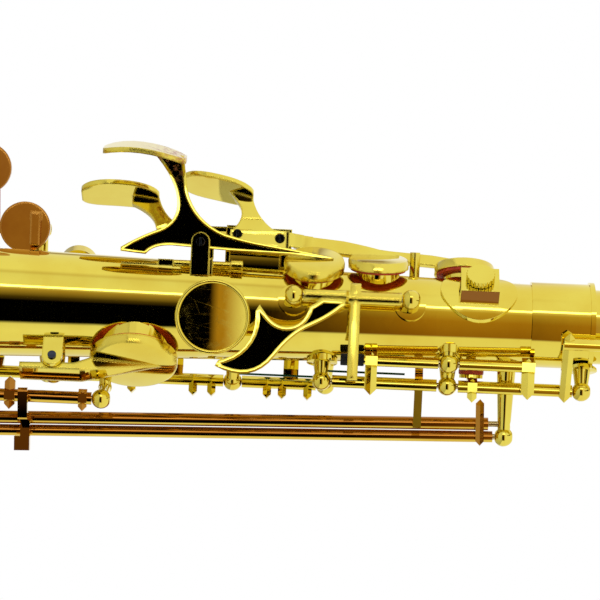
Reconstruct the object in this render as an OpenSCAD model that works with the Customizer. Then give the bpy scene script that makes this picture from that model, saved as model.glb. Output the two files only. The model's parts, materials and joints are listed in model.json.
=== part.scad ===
/* [Body tube] */
// Outer diameter at the upper end of the main tube
top_d = 34; // [32:0.5:36]
// Growth of the outer diameter per millimetre of length
taper = 0.0525; // [0.05:0.0005:0.055]
// Length of the main tube
tube_l = 790; // [770:5:820]
// Thickness of the sheet brass
wall = 0.8; // [0.6:0.1:1.2]
// Height of a tone hole rim above the crest of the tube
rim_h = 1.5; // [1.2:0.1:2.5]
// Wall of a tone hole chimney
chimney_wall = 1.2; // [0.8:0.1:1.6]

/* [Bow and bell] */
// Distance between the axes of the body tube and the bell
bell_gap = 130; // [126:1:140]
// Outer diameter where the bow meets the bell
bell_base_d = 92; // [84:1:96]
// Outer diameter of the bell rim
bell_rim_d = 176; // [165:1:190]
// Height of the bell from the bow to the rim
bell_h = 430; // [400:5:460]
// Width of the ferrules
ferrule_w = 14; // [10:1:20]
// Thickness of the ferrules
ferrule_t = 1.4; // [1:0.1:2]

/* [Upper bow and neck] */
// Length of the collar at the upper end of the body
collar_l = 26.5; // [22:0.5:32]
// Wall of the collar
collar_t = 1; // [0.8:0.1:1.6]
// Outer diameter of the upper bow where the neck receiver sits
receiver_bow_d = 23; // [22:0.5:25]
// Radius of the large bend of the upper bow
big_bend = 42; // [38:1:46]
// Radius of the small bend of the upper bow
small_bend = 26; // [24:1:30]
// Outer diameter of the neck at its tip
neck_tip_d = 14.6; // [13:0.1:16]
// Thickness of the cork on the neck
cork_t = 1.4; // [1:0.1:2]
// Length of the mouthpiece
mouthpiece_l = 118; // [105:1:125]
// Outer diameter of the mouthpiece shank
shank_d = 27; // [25:0.5:30]

/* [Keywork] */
// Outer diameter of the hinge tubes
hinge_d = 5.2; // [4.6:0.1:5.4]
// Diameter of the steel hinge rods
rod_d = 2.4; // [2:0.1:2.6]
// Running clearance round a hinge rod
run_clear = 0.05; // [0.03:0.01:0.08]
// Radius of the ball on a post
ball_r = 4.1; // [3.8:0.1:4.4]
// Height of a key cup with its pad
cup_h = 5.4; // [5:0.1:6]
// Thickness of the pads
pad_t = 3; // [2.5:0.1:3.5]
// Part of the pad that shows below its cup
pad_show = 1.1; // [0.8:0.1:1.5]
// Gap between a closed pad and its rim
seat_gap = 0.3; // [0.25:0.05:0.5]
// Angle at which the open-standing keys rest
stand_open = 8; // [6:0.5:9]
// Diameter of the palm key cups
palm_cup_d = 25.6; // [24:0.2:25.8]
// Diameter of the side C key cup
side_cup_d = 37; // [34:0.5:38]
// Thickness of the plates of the palm keys
plate_t = 3.2; // [2.6:0.1:3.4]

/* [Hand points] */
// Radius of the thumb rest
thumb_r = 15.6; // [14:0.2:16]
// Height of the thumb rest face above the tube axis
thumb_face = 28; // [27:0.5:29]
// Radius of the hole of the strap ring
ring_r = 7; // [6:0.5:9]
// Thickness of the strap ring
ring_t = 3; // [2.5:0.25:4]
// Width of the strap ring along its hole
ring_w = 4; // [3:0.5:6]
// Distance of the strap ring below the upper end of the body
ring_drop = 330; // [310:5:345]
// Diameter of the head of the lyre screw
lyre_head_d = 12; // [10:0.5:13]

/* [Hidden] */
$fn = 64;
fine = 96;
eps = 0.01;
brass = "goldenrod";
steel = "silver";
pad_red = "firebrick";

// Places are measured from the upper end of the body, with the tube axis on Z and the player at -Y.
function tube_r(z) = top_d / 2 - taper * z / 2;
function rim_r(z) = tube_r(z) + rim_h;
function ring_reach() = tube_r(-ring_drop) + 9 + ring_r;
function polar(phi, r) = [-r * sin(phi), -r * cos(phi)];
function mix(a, b, t) = a + (b - a) * t;
// Points of a quadratic curve from a to c, drawn towards b
function curve(a, b, c, n = 8) =
  [for (i = [0:n]) let (t = i / n) mix(mix(a, b, t), mix(b, c, t), t)];

// Moves the tube frame to the part frame, whose origin is the centre of the strap ring
module placed() translate([0, ring_reach(), ring_drop]) children();
// Local Z points out of the tube at angle phi, local Y points up the tube
module out_at(phi, z, r) {
  p = polar(phi, r);
  translate([p[0], p[1], z]) rotate([0, 0, -phi]) rotate([90, 0, 0]) children();
}
// Local Z points from a to b
module toward(a, b) {
  v = b - a;
  translate(a) rotate([0, acos(v[2] / norm(v)), atan2(v[1], v[0])]) children();
}
module rod(a, b, d) toward(a, b) cylinder(h = norm(b - a), d = d);
// Flat bar in the plane of the page with square ends, and with round ends
module strip2d(a, b, w) {
  v = b - a;
  translate(a) rotate(atan2(v[1], v[0])) translate([0, -w / 2]) square([norm(v), w]);
}
module bar2d(a, b, w) {
  strip2d(a, b, w);
  translate(a) circle(d = w);
  translate(b) circle(d = w);
}
// Bar across the tube from x0 to x1 whose ends are pointed as the player sees them
module pointed(z, w, x0, x1, tip) intersection() {
  children();
  translate([0, 60, 0]) rotate([90, 0, 0]) linear_extrude(120) polygon([
    [x0, z + w / 2], [x0 + tip, z], [x1 - tip, z], [x1, z + w / 2], [x1 - tip, z + w], [x0 + tip, z + w]
  ]);
}
// Bar from a to b with a ridge along its face on the left of that direction
ridge_drop = 1;
module ridged(a, b, t, z, w) {
  v = b - a;
  translate([a[0], a[1], z]) rotate(atan2(v[1], v[0])) rotate([90, 0, 90]) linear_extrude(norm(v)) polygon([
    [t / 2, w / 2], [t / 2 - ridge_drop, w], [-t / 2, w], [-t / 2, 0], [t / 2 - ridge_drop, 0]
  ]);
}
// Sheet in a plane of constant Y, drawn in (height above the axis, length) as seen by the player
module back_plate(y, t) translate([0, y + t, 0]) rotate([90, 0, 0]) linear_extrude(t) children();
function seen(z, h) = [-h, z];

module tube_core() {
  translate([0, 0, -tube_l]) cylinder(h = tube_l, r1 = tube_r(-tube_l), r2 = tube_r(0), $fn = fine);
}
// Key cup: z = 0 is the underside of the pad
module cup(d) {
  rotate_extrude() polygon([
    [0, cup_h], [d / 2 - 1.4, cup_h], [d / 2 - 0.4, cup_h - 0.4], [d / 2, cup_h - 1.4], [d / 2, pad_show],
    [d / 2 - 1, pad_show], [d / 2 - 1, pad_t], [0, pad_t]
  ]);
}
module pad(d) cylinder(h = pad_t, d = d - 2 - 2 * run_clear);
// Bore of a hinge tube along Z
module hinge_bore(p, z0, z1) {
  translate([p[0], p[1], z0 - 1]) cylinder(h = z1 - z0 + 2, d = rod_d + 2 * run_clear);
}

// Tubes

// Keys whose hinge tube lies along the tube: [height, cup diameter, hinge place, lower end, upper end]
c_key = [-100, 30, [30, 24], -121, -89];
b_key = [-150, 33, [30, 24], -201, -129];
a_key = [-228, 36, [30, 24], -269, -209];
g_key = [-300, 40, [30, 24], -343, -277];
low_c = [100 - tube_l, 54, [46, 36], 64 - tube_l, 136 - tube_l];
// Lower stack: below the bell rim and clear of the G key, spaced out towards the low C key, posts between the keys
f_z = min(380 - tube_l, g_key[0] - 83);
lower_step = (low_c[0] - f_z) / 7;
lower_z = [for (n = [0, 2, 4]) f_z + n * lower_step];
lower_posts = [lower_z[0] + 27, (lower_z[0] + lower_z[1]) / 2 - 5, (lower_z[1] + lower_z[2]) / 2 - 5, lower_z[2] - 45];
lower_at = [40, 32];
post_gap = 4;
f_key = [lower_z[0], 44, lower_at, lower_posts[1] + post_gap, lower_posts[0] - post_gap];
e_key = [lower_z[1], 46, lower_at, lower_posts[2] + post_gap, lower_posts[1] - post_gap];
d_key = [lower_z[2], 48, lower_at, lower_posts[3] + post_gap, lower_posts[2] - post_gap];
g_sharp = [-368, 28, [26, 26], -383, -353];
low_eb = [150 - tube_l, 44, [38, 32], 120 - tube_l, 180 - tube_l];
low_c_sharp = [75 - tube_l, 46, [44, 40], 45 - tube_l, 105 - tube_l];
low_b = [150 - tube_l, 54, [46, 40], 119 - tube_l, 276 - tube_l];
low_bb = [250 - tube_l, 58, [53, 34], 219 - tube_l, 286 - tube_l];
front_keys = [c_key, b_key, a_key, g_key, f_key, e_key, d_key, low_c];
// Angles round the tube of the keys that stand elsewhere
g_sharp_phi = 75;
low_eb_phi = -80;
low_b_turn = -110;
low_c_sharp_turn = -80;
// Palm and side key cups: [angle, height]
palm_d_cup = [62, -92];
palm_eb_cup = [79, -65];
palm_f_cup = [108, -28];
side_c_cup = [-57.6, -166];
// Free width between a tone hole rim and the edge of its cup
cup_lap = 3.6;

function hole_d(cup_d) = cup_d - 2 * cup_lap - 2 * chimney_wall;
function bell_r(z) = let (s = (z + tube_l) / bell_h)
  bell_base_d / 2 + (bell_rim_d - bell_base_d) / 2 * (0.32 * s + 0.68 * pow(s, 6));
function bell_rim_r(z) = bell_r(z) + rim_h + 1;

// Turned frames in which the cup of a key faces local +Y
module body_turn(phi) rotate([0, 0, 180 - phi]) children();
module bell_turn(angle) translate([0, bell_gap, 0]) rotate([0, 0, angle]) children();

module chimney(phi, z, d) {
  out_at(phi, z, 0) cylinder(h = rim_r(z), d = d + 2 * chimney_wall);
}
module chimney_hole(phi, z, d) out_at(phi, z, 0) cylinder(h = rim_r(z) + 1, d = d);
module body_holes(hole) {
  for (k = front_keys) if (hole) chimney_hole(180, k[0], hole_d(k[1])); else chimney(180, k[0], hole_d(k[1]));
  for (c = [palm_d_cup, palm_eb_cup, palm_f_cup])
    if (hole) chimney_hole(c[0], c[1], hole_d(palm_cup_d)); else chimney(c[0], c[1], hole_d(palm_cup_d));
  sides = [
    [side_c_cup[0], side_c_cup[1], side_cup_d], [g_sharp_phi, g_sharp[0], g_sharp[1]],
    [low_eb_phi, low_eb[0], low_eb[1]]
  ];
  for (s = sides) if (hole) chimney_hole(s[0], s[1], hole_d(s[2])); else chimney(s[0], s[1], hole_d(s[2]));
}
module body_tube() color(brass) placed() difference() {
  union() {
    tube_core();
    body_holes(false);
  }
  translate([0, 0, -tube_l - eps])
    cylinder(h = tube_l + 2 * eps, r1 = tube_r(-tube_l) - wall, r2 = tube_r(0) - wall, $fn = fine);
  body_holes(true);
}

// Bent pipe through stations [y, z, heading, outer radius]
module pipe(stations, t, sides = 36) {
  m = len(stations);
  function ring(s, r) = [for (j = [0:sides - 1]) let (a = 360 * j / sides)
    [r * cos(a), s[0] - r * sin(a) * sin(s[2]), s[1] + r * sin(a) * cos(s[2])]];
  outer = [for (s = stations) each ring(s, s[3])];
  inner = [for (s = stations) each ring(s, s[3] - t)];
  function o(i, j) = i * sides + j % sides;
  function n(i, j) = (m + i) * sides + j % sides;
  faces = [
    for (i = [0:m - 2], j = [0:sides - 1]) each [
      [o(i, j), o(i, j + 1), o(i + 1, j + 1)], [o(i, j), o(i + 1, j + 1), o(i + 1, j)],
      [n(i, j + 1), n(i, j), n(i + 1, j)], [n(i, j + 1), n(i + 1, j), n(i + 1, j + 1)]
    ],
    for (j = [0:sides - 1]) each [
      [o(0, j + 1), o(0, j), n(0, j)], [o(0, j + 1), n(0, j), n(0, j + 1)],
      [o(m - 1, j), o(m - 1, j + 1), n(m - 1, j + 1)], [o(m - 1, j), n(m - 1, j + 1), n(m - 1, j)]
    ]
  ];
  polyhedron(points = concat(outer, inner), faces = faces);
}
// Stations along an arc: centre, radius, heading at both ends, side of the centre, outer radius at both ends
function arc_stations(c, r, h0, h1, left, r0, r1, n) = [for (i = [0:n]) let (h = mix(h0, h1, i / n))
  [c[0] + left * r * sin(h), c[1] - left * r * cos(h), h, mix(r0, r1, i / n)]];

module bottom_bow() color(brass) placed()
  pipe(
    arc_stations([bell_gap / 2, -tube_l], bell_gap / 2, -90, 90, 1, tube_r(-tube_l), bell_base_d / 2, 24), wall
  );

module bell_profile(shrink) {
  steps = 28;
  polygon(concat(
    [for (i = [0:steps]) let (z = -tube_l + bell_h * i / steps) [bell_r(z) - shrink, z]],
    [[0, -tube_l + bell_h], [0, -tube_l]]
  ));
}
bell_holes = [
  [low_b_turn, low_b], [low_b_turn, low_bb], [low_c_sharp_turn, low_c_sharp]
];
module bell() color(brass) placed() {
  rim_bead = 2.4;
  difference() {
    union() {
      translate([0, bell_gap, 0]) rotate_extrude($fn = fine) bell_profile(0);
      for (h = bell_holes) bell_turn(h[0]) translate([0, 0, h[1][0]]) rotate([-90, 0, 0])
        cylinder(h = bell_rim_r(h[1][0]), d = hole_d(h[1][1]) + 2 * chimney_wall);
    }
    translate([0, bell_gap, eps]) rotate_extrude($fn = fine) bell_profile(wall);
    translate([0, bell_gap, -tube_l - 1]) cylinder(h = 2, r = bell_base_d / 2 - wall);
    for (h = bell_holes) bell_turn(h[0]) translate([0, 0, h[1][0]]) rotate([-90, 0, 0])
      cylinder(h = bell_rim_r(h[1][0]) + 1, d = hole_d(h[1][1]));
  }
  translate([0, bell_gap, -tube_l + bell_h]) rotate_extrude($fn = fine)
    translate([bell_rim_d / 2, 0]) circle(d = rim_bead);
}
// Brace between the body and the bell: two feet and a ring
brace_w = 12;
brace_z = (lower_z[0] + lower_z[1] - brace_w) / 2;
module bell_brace() color(brass) placed() {
  back = bell_gap - bell_r(brace_z + brace_w);
  front = tube_r(brace_z);
  ring_side = (back - front) / 2 - 5;
  difference() {
    union() {
      translate([0, (back + front) / 2, brace_z]) difference() {
        cylinder(h = brace_w, r = ring_side);
        translate([0, 0, -1]) cylinder(h = brace_w + 2, r = ring_side - 3);
      }
      translate([-6, front - 4, brace_z]) cube([12, 10, brace_w]);
      translate([-6, back - 6, brace_z]) cube([12, 10, brace_w]);
    }
    tube_core();
    translate([0, bell_gap, 0]) rotate_extrude($fn = fine) bell_profile(0);
  }
}

module band(r, w, t) difference() {
  cylinder(h = w, r = r + t, $fn = fine);
  translate([0, 0, -1]) cylinder(h = w + 2, r = r, $fn = fine);
}
// The bands at both ends of the bottom bow
module ferrules() color(brass) placed() {
  fit = 0.05;
  translate([0, 0, -tube_l]) band(tube_r(-tube_l) + fit, ferrule_w, ferrule_t);
  translate([0, bell_gap, -tube_l]) band(bell_r(-tube_l + ferrule_w) + fit, ferrule_w, ferrule_t);
}
module collar() color(brass) placed() {
  lip_w = 2;
  lip = 0.8;
  r = top_d / 2 + collar_t;
  difference() {
    union() {
      cylinder(h = collar_l, r = r, $fn = fine);
      translate([0, 0, collar_l - lip_w]) cylinder(h = lip_w, r = r + lip, $fn = fine);
    }
    translate([0, 0, -1]) cylinder(h = collar_l + 2, r = top_d / 2 - wall, $fn = fine);
  }
}

// Upper bow: up from the collar, over the large bend, down, round the small bend and up to the receiver
bow_up = 75;
bow_down = 30;
receiver_z = 60;
bow_fit = 0.1;
bow_y = 2 * big_bend;
neck_y = bow_y + 2 * small_bend;
bow_r0 = top_d / 2 - wall - bow_fit;
bow_r1 = receiver_bow_d / 2;
function bow_r(t) = mix(bow_r0, bow_r1, t);
module upper_bow() color(brass) placed() pipe(concat(
  [[0, 1, 90, bow_r(0)]],
  arc_stations([big_bend, bow_up], big_bend, 90, -90, -1, bow_r(0.2), bow_r(0.6), 18),
  arc_stations([bow_y + small_bend, bow_down], small_bend, -90, 90, 1, bow_r(0.7), bow_r(0.95), 16),
  [[neck_y, receiver_z, 90, bow_r(1)]]
), wall, 32);

// Neck, mouthpiece and fittings

receiver_l = 34;
receiver_t = 2.2;
receiver_below = 14;
lug = [10, 9, 12];
lug_slit = 2;
clamp_d = 4;
lug_y = neck_y + bow_r1 + receiver_t + 4;
lug_z = receiver_z - receiver_below + receiver_l - 8;
module neck_receiver() color(brass) placed() difference() {
  union() {
    translate([0, neck_y, receiver_z - receiver_below])
      cylinder(h = receiver_l, r = bow_r1 + bow_fit + receiver_t);
    translate([-lug[0] / 2, lug_y - lug[1] / 2, lug_z - lug[2] / 2]) cube(lug);
  }
  translate([0, neck_y, receiver_z - receiver_below - 1]) cylinder(h = receiver_l + 2, r = bow_r1 + bow_fit);
  translate([-lug_slit / 2, neck_y, receiver_z + 2]) cube([lug_slit, 40, receiver_l]);
  translate([0, lug_y + 1, lug_z]) rotate([0, 90, 0])
    cylinder(h = 40, d = clamp_d + 2 * run_clear, center = true);
}
module neck_screw() color(brass) placed() translate([0, lug_y + 1, lug_z]) rotate([0, 90, 0]) {
  head_gap = 0.3;
  cylinder(h = lug[0] + 2, d = clamp_d, center = true);
  translate([0, 0, lug[0] / 2 + head_gap]) cylinder(h = 7, d = 6);
  difference() {
    translate([0, 0, lug[0] / 2 + head_gap + 4]) cylinder(h = 5, d = 13);
    for (a = [0:20:340]) rotate(a) translate([7, 0, lug[0] / 2]) cylinder(h = 20, d = 2.2);
  }
}

neck_r0 = bow_r1 - 0.4;
neck_rise = 130;
neck_bend = 40;
neck_sweep = 160;
neck_drop = 20;
neck_heading = 180 + neck_drop;
neck_run = 92;
cork_l = 46;
neck_c = [neck_y - neck_bend, neck_rise];
sweep_c = [neck_c[0], neck_rise + neck_bend - neck_sweep];
sweep_end = [sweep_c[0] + neck_sweep * sin(neck_heading), sweep_c[1] - neck_sweep * cos(neck_heading)];
function along_neck(d) = sweep_end + d * [cos(neck_heading), sin(neck_heading)];
cork_start = along_neck(neck_run - cork_l);
neck_end = along_neck(neck_run);
function neck_r(t) = mix(neck_r0, neck_tip_d / 2, t);
module neck() color(brass) placed() pipe(concat(
  [[neck_y, receiver_z + 1, 90, neck_r0]],
  arc_stations(neck_c, neck_bend, 90, 180, 1, neck_r(0.2), neck_r(0.5), 12),
  arc_stations(sweep_c, neck_sweep, 184, neck_heading, 1, neck_r(0.55), neck_r(0.8), 6),
  [[cork_start[0], cork_start[1], neck_heading, neck_tip_d / 2]],
  [[neck_end[0], neck_end[1], neck_heading, neck_tip_d / 2]]
), wall, 32);
// Local Z runs along the neck towards the player, local -Y is the reed side
module at_neck(d) {
  p = along_neck(d);
  translate([0, p[0], p[1]]) rotate([neck_heading - 90, 0, 0]) children();
}
module neck_cork() color("burlywood") placed() at_neck(neck_run - cork_l) difference() {
  cylinder(h = cork_l - 2, r = neck_tip_d / 2 + cork_t);
  translate([0, 0, -1]) cylinder(h = cork_l, r = neck_tip_d / 2);
}
// Mouthpiece: shank bore on the cork, flat table for the reed, sloping beak
push_on = 34;
mouth_d = neck_run - push_on;
table_y = -10;
beak_start = 58;
tip_h = 1.6;
module mouthpiece() color([0.08, 0.08, 0.08]) placed() at_neck(mouth_d) {
  r = shank_d / 2;
  lay = atan2(r - 1.6 - table_y - tip_h, mouthpiece_l - beak_start);
  difference() {
    rotate_extrude() polygon([
      [0, 0], [r - 0.6, 0], [r, 1.5], [r, 8], [r - 0.8, 9], [r - 0.8, 40], [r - 1.6, beak_start],
      [r - 2.6, mouthpiece_l], [0, mouthpiece_l]
    ]);
    translate([0, 0, -1]) cylinder(h = push_on + 2, r = neck_tip_d / 2 + cork_t + 0.05);
    cylinder(h = mouthpiece_l - 14, r = 6.5);
    translate([-50, table_y - 50, 44]) cube([100, 50, 100]);
    translate([-5.5, table_y - 1, mouthpiece_l - 52]) cube([11, 8, 46]);
    translate([0, r - 1.6, beak_start]) rotate([lay, 0, 0]) translate([-50, 0, 0]) cube([100, 60, 200]);
  }
}
reed_t = 3.4;
reed_w = 16;
module reed() color("wheat") placed() at_neck(mouth_d) intersection() {
  translate([reed_w / 2, 0, 0]) rotate([0, -90, 0]) linear_extrude(reed_w) polygon([
    [46, table_y], [46, table_y - reed_t], [80, table_y - reed_t], [mouthpiece_l - 1, table_y - 0.4],
    [mouthpiece_l - 1, table_y]
  ]);
  cylinder(h = 200, r = shank_d / 2 - 0.2);
}
lig_z = 50;
lig_l = 26;
module ligature() color("goldenrod") placed() at_neck(mouth_d) {
  r = shank_d / 2;
  difference() {
    translate([0, 0, lig_z]) cylinder(h = lig_l, r = r + 0.9);
    translate([0, 0, lig_z - 1]) cylinder(h = lig_l + 2, r = r);
    translate([-7, table_y - 20, lig_z + 8]) cube([14, 20, lig_l - 16]);
  }
  for (z = [lig_z + 4, lig_z + lig_l - 4]) {
    translate([0, -r - 3, z]) rotate([0, 90, 0]) cylinder(h = 18, d = 5, center = true);
    translate([9, -r - 3, z]) rotate([0, 90, 0]) cylinder(h = 9, d = 9);
  }
}

thumb_at = [-133.3, -2.3];
rim_w = 1.7;
rim_up = 0.6;
module thumb_rest() color(brass) placed() difference() {
  translate([-thumb_at[1], 0, thumb_at[0]]) rotate([90, 0, 0]) {
    cylinder(h = thumb_face - rim_up, r = thumb_r - 5);
    translate([0, 0, thumb_face - 3]) cylinder(h = 3 - rim_up, r = thumb_r);
    rotate_extrude($fn = fine) translate([thumb_r - rim_w / 2, thumb_face - rim_up]) circle(d = rim_w);
  }
  tube_core();
}
// Thumb hook for the right hand on the back of the tube
hook_z = -470;
hook_in = 10;
hook_t = 3.5;
module thumb_hook() color(brass) placed() {
  back = tube_r(hook_z - 18);
  difference() {
    union() {
      translate([-9, -back - 3, hook_z - 18]) cube([18, 8, 36]);
      translate([-6, -back - 1, hook_z - 4]) rotate([90, 0, 90]) linear_extrude(12) difference() {
        union() {
          translate([-hook_in, 0]) circle(r = hook_in + hook_t);
          translate([-hook_in, -4]) square([hook_in + hook_t, 8]);
        }
        translate([-hook_in - 1, 0]) circle(r = hook_in);
        translate([-60, -60]) square([120, 60]);
      }
    }
    tube_core();
  }
}
// Strap ring: its hole runs along X and is centred on the origin of the part
foot_w = 14;
module strap_ring() color(brass) difference() {
  union() {
    rotate([0, 90, 0]) cylinder(h = ring_w, r = ring_r + ring_t, center = true);
    translate([-ring_w / 2, ring_r + ring_t / 2, -6]) cube([ring_w, 10, 12]);
    translate([-foot_w / 2, ring_reach() - tube_r(-ring_drop) - 2.5, -14]) cube([foot_w, 8, 28]);
  }
  rotate([0, 90, 0]) cylinder(h = ring_w + 2, r = ring_r, center = true);
  placed() tube_core();
}

// Lyre holder: saddle plate, socket block and knurled screw
lyre_phi = 46;
lyre_z = -22.5;
lyre_plate = [25.7, 32.5];
lyre_plate_t = 1.4;
lyre_block = [14, 16];
lyre_block_r = 24.9;
lyre_socket = 4.6;
lyre_stem_d = 4;
lyre_gap = 0.3;
module saddle_shell() difference() {
  translate([0, 0, -tube_l])
    cylinder(h = tube_l, r1 = tube_r(-tube_l) + lyre_plate_t, r2 = tube_r(0) + lyre_plate_t, $fn = fine);
  tube_core();
}
module lyre_holder() color(brass) placed() {
  difference() {
    intersection() {
      saddle_shell();
      out_at(lyre_phi, lyre_z, 0) linear_extrude(60)
        polygon([for (a = [0:8:352]) [lyre_plate[0] / 2 * cos(a), lyre_plate[1] / 2 * sin(a)]]);
    }
    chimney(palm_f_cup[0], palm_f_cup[1], hole_d(palm_cup_d) + 2 * run_clear);
  }
  difference() {
    out_at(lyre_phi, lyre_z, 0)
      translate([-lyre_block[0] / 2, -lyre_block[1] / 2, tube_r(0) - 6])
      cube([lyre_block[0], lyre_block[1], lyre_block_r - tube_r(0) + 6]);
    tube_core();
    out_at(lyre_phi, lyre_z, lyre_block_r - 1.6 - lyre_socket / 2) rotate([90, 0, 0])
      cube([lyre_socket, lyre_socket, 60], center = true);
    out_at(lyre_phi, lyre_z, lyre_block_r - 4) cylinder(h = 10, d = lyre_stem_d + 2 * run_clear);
  }
}
module lyre_screw() color(brass) placed() out_at(lyre_phi, lyre_z, lyre_block_r) {
  head_h = 3;
  translate([0, 0, -1.9]) cylinder(h = 4, d = lyre_stem_d);
  translate([0, 0, lyre_gap]) difference() {
    cylinder(h = head_h, d = lyre_head_d);
    for (a = [0:15:345]) rotate(a) translate([lyre_head_d / 2 + 0.35, 0, -1])
      cylinder(h = head_h + 2, d = 1.5);
  }
}

// Palm keys: plates that turn on pins across the tube

// Front face of each palm key plate and its pin: [y, height along the tube, height above the axis]
palm_d = [-12, -140, 28.8];
palm_eb = [1.5, -107, 31.8];
palm_f = [9.5, -125, 33.2];
module pin_bore(key, slack = run_clear) {
  translate([-key[2], key[0] - 40, key[1]]) rotate([-90, 0, 0]) cylinder(h = 80, d = rod_d + 2 * slack);
}
module closed_cup(at, d) out_at(at[0], at[1], rim_r(at[1]) + seat_gap) cup(d);
module closed_pad(at, d) out_at(at[0], at[1], rim_r(at[1]) + seat_gap) pad(d);
// Curved touch: a strip along the tube cut to an oval, leaning towards or away from the player
touch_t = 2.2;
module touch(y, from, top, to, w, lean) {
  mid = (from + to) / 2;
  long = to[1] - from[1] + 1;
  translate([mid[0], y, 0]) rotate([0, 0, lean]) translate([-mid[0], -y, 0]) intersection() {
    back_plate(y - w / 2, w) polygon(concat(
      curve(from, top, to), curve(to + [touch_t, 0], top + [touch_t, 0], from + [touch_t, 0])
    ));
    translate([mid[0] - 20, y, mid[1]]) rotate([0, 90, 0]) linear_extrude(40)
      polygon([for (a = [0:10:350]) [long / 2 * sign(cos(a)) * pow(abs(cos(a)), 0.7),
        w / 2 * sign(sin(a)) * pow(abs(sin(a)), 0.7)]]);
  }
}
// Plates of the rear palm keys: flat between their rails, leaning back above them and along the arm
plate_lean = 22;
eb_bend = seen(-101, 39.5);
f_bend = seen(-141, 34);
arm_z = -101;
turn_w = 4;
function lifted(points, bend) = [
  for (p = points)
    p[0] < bend[0] && p[1] < bend[1] ? [bend[0] + (p[0] - bend[0]) / cos(plate_lean), p[1]] : p
];
module leaned(at, y, turn, along = [0, 0, 1])
  translate([at[0], y, at[1]]) rotate(a = -turn, v = along) translate([-at[0], -y, -at[1]]) children();
module zone(h0, h1, z0, z1) translate([-h1, -60, z0]) cube([h1 - h0, 120, z1 - z0]);
module bent_plate(y, outline, bend, arm) {
  module plate() back_plate(y, plate_t) polygon(lifted(outline, bend));
  along = [arm[1][0] - arm[0][0], 0, arm[1][1] - arm[0][1]];
  difference() {
    plate();
    zone(-bend[0], 90, -300, bend[1]);
    zone(0, 90, arm_z, 0);
  }
  leaned(bend, y, plate_lean) intersection() {
    plate();
    zone(-bend[0], 90, -300, bend[1]);
  }
  for (i = [0:2]) leaned(arm[0], y, plate_lean * (i + 1) / 3, along) intersection() {
    plate();
    zone(0, 90, arm_z + turn_w * i - 0.05, i < 2 ? arm_z + turn_w * (i + 1) : 0);
  }
}
function leaned_y(y, bend, h) = y + (h + bend[0]) * tan(plate_lean);
eb_touch_y = leaned_y(palm_eb[0] + plate_t / 2, eb_bend, 53);
f_touch_y = leaned_y(palm_f[0] + plate_t / 2, f_bend, 49);
module palm_d_key() color(brass) placed() difference() {
  union() {
    back_plate(palm_d[0], plate_t) polygon(concat(
      curve(seen(-162, 66), seen(-150.5, 54), seen(-150.5, 44)),
      curve(seen(-150.5, 44), seen(-150.5, 35.5), seen(-160, 32.5)),
      curve(seen(-160, 32.5), seen(-167, 29.5), seen(-173.5, 25.3)),
      [seen(-173.5, 23.6), seen(-163, 22.7)],
      curve(seen(-163, 22.7), seen(-160, 26.8), seen(-152, 26.8)),
      [seen(-128, 25.6), seen(-108, 24.9), seen(-84, 24.2), seen(-100, 27.2)],
      curve(seen(-100, 27.2), seen(-120, 29.6), seen(-130, 32.5)),
      curve(seen(-130, 32.5), seen(-143, 37.5), seen(-146.5, 50)),
      [seen(-148.6, 64.5)]
    ));
    touch(palm_d[0] + plate_t / 2, seen(-182.5, 67), seen(-168, 71.5), seen(-147.5, 64), 23, 10);
    closed_cup(palm_d_cup, palm_cup_d);
  }
  pin_bore(palm_d);
}
module palm_d_pad() color(pad_red) placed() closed_pad(palm_d_cup, palm_cup_d);
module palm_eb_key() color(brass) placed() difference() {
  union() {
    bent_plate(palm_eb[0], concat(
      curve(seen(-119.5, 50), seen(-118, 41), seen(-110, 35.5)),
      [seen(-95, 33.6)],
      curve(seen(-80, 32.3), seen(-66, 30), seen(-56, 26.8)),
      [seen(-57, 26.2), seen(-78, 26.2), seen(-100, 28.2)],
      curve(seen(-118, 30), seen(-124, 31), seen(-128.5, 33)),
      curve(seen(-127.5, 34.8), seen(-121.5, 40), seen(-125, 46)),
      [seen(-130, 52)]
    ), eb_bend, [seen(-100, 28.2), seen(-57, 26.2)]);
    touch(eb_touch_y, seen(-149, 56), seen(-134, 54.5), seen(-119, 49.8), 21, -25);
    closed_cup(palm_eb_cup, palm_cup_d);
  }
  pin_bore(palm_eb);
}
module palm_eb_pad() color(pad_red) placed() closed_pad(palm_eb_cup, palm_cup_d);
module palm_f_key() color(brass) placed() difference() {
  union() {
    bent_plate(palm_f[0], concat(
      curve(seen(-159.8, 49), seen(-158, 40), seen(-150, 35.8)),
      [seen(-125, 36.2), seen(-100, 33), seen(-60, 29), seen(-42, 28)],
      [seen(-18, 25), seen(-18, 22.4), seen(-42, 23.4), seen(-60, 24.5), seen(-100, 28.5), seen(-125, 30.2)],
      curve(seen(-150, 30.8), seen(-160, 31.5), seen(-160.6, 36)),
      curve(seen(-160.6, 36), seen(-162, 41), seen(-171, 44.5)),
      [seen(-171, 48)]
    ), f_bend, [seen(-100, 28.5), seen(-42, 23.4)]);
    touch(f_touch_y, seen(-193, 49), seen(-177, 51.5), seen(-159.5, 48), 21, -25);
    closed_cup(palm_f_cup, palm_cup_d);
  }
  pin_bore(palm_f);
}
module palm_f_pad() color(pad_red) placed() closed_pad(palm_f_cup, palm_cup_d);

// Brackets and rails that carry the palm keys and the side C key
cheek_w = 7.8;
cheek_t = 2.4;
cheek_gap = 0.5;
side_c_pin = [-199.5, 30];
side_c_w = 10;
module cheek2d(z, h) {
  translate(seen(z, h)) circle(d = cheek_w);
  translate([-h, z - cheek_w / 2]) square([h - 8, cheek_w]);
}
module rail2d(z0, z1, h) translate([-h, z0]) square([h - 6, z1 - z0]);
front_rail_y = -3.5;
mid_rail_y = palm_eb[0] + plate_t + cheek_gap;
rear_rail_y = palm_f[0] + plate_t + cheek_gap + 0.8;
rail_t = 2;
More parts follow.
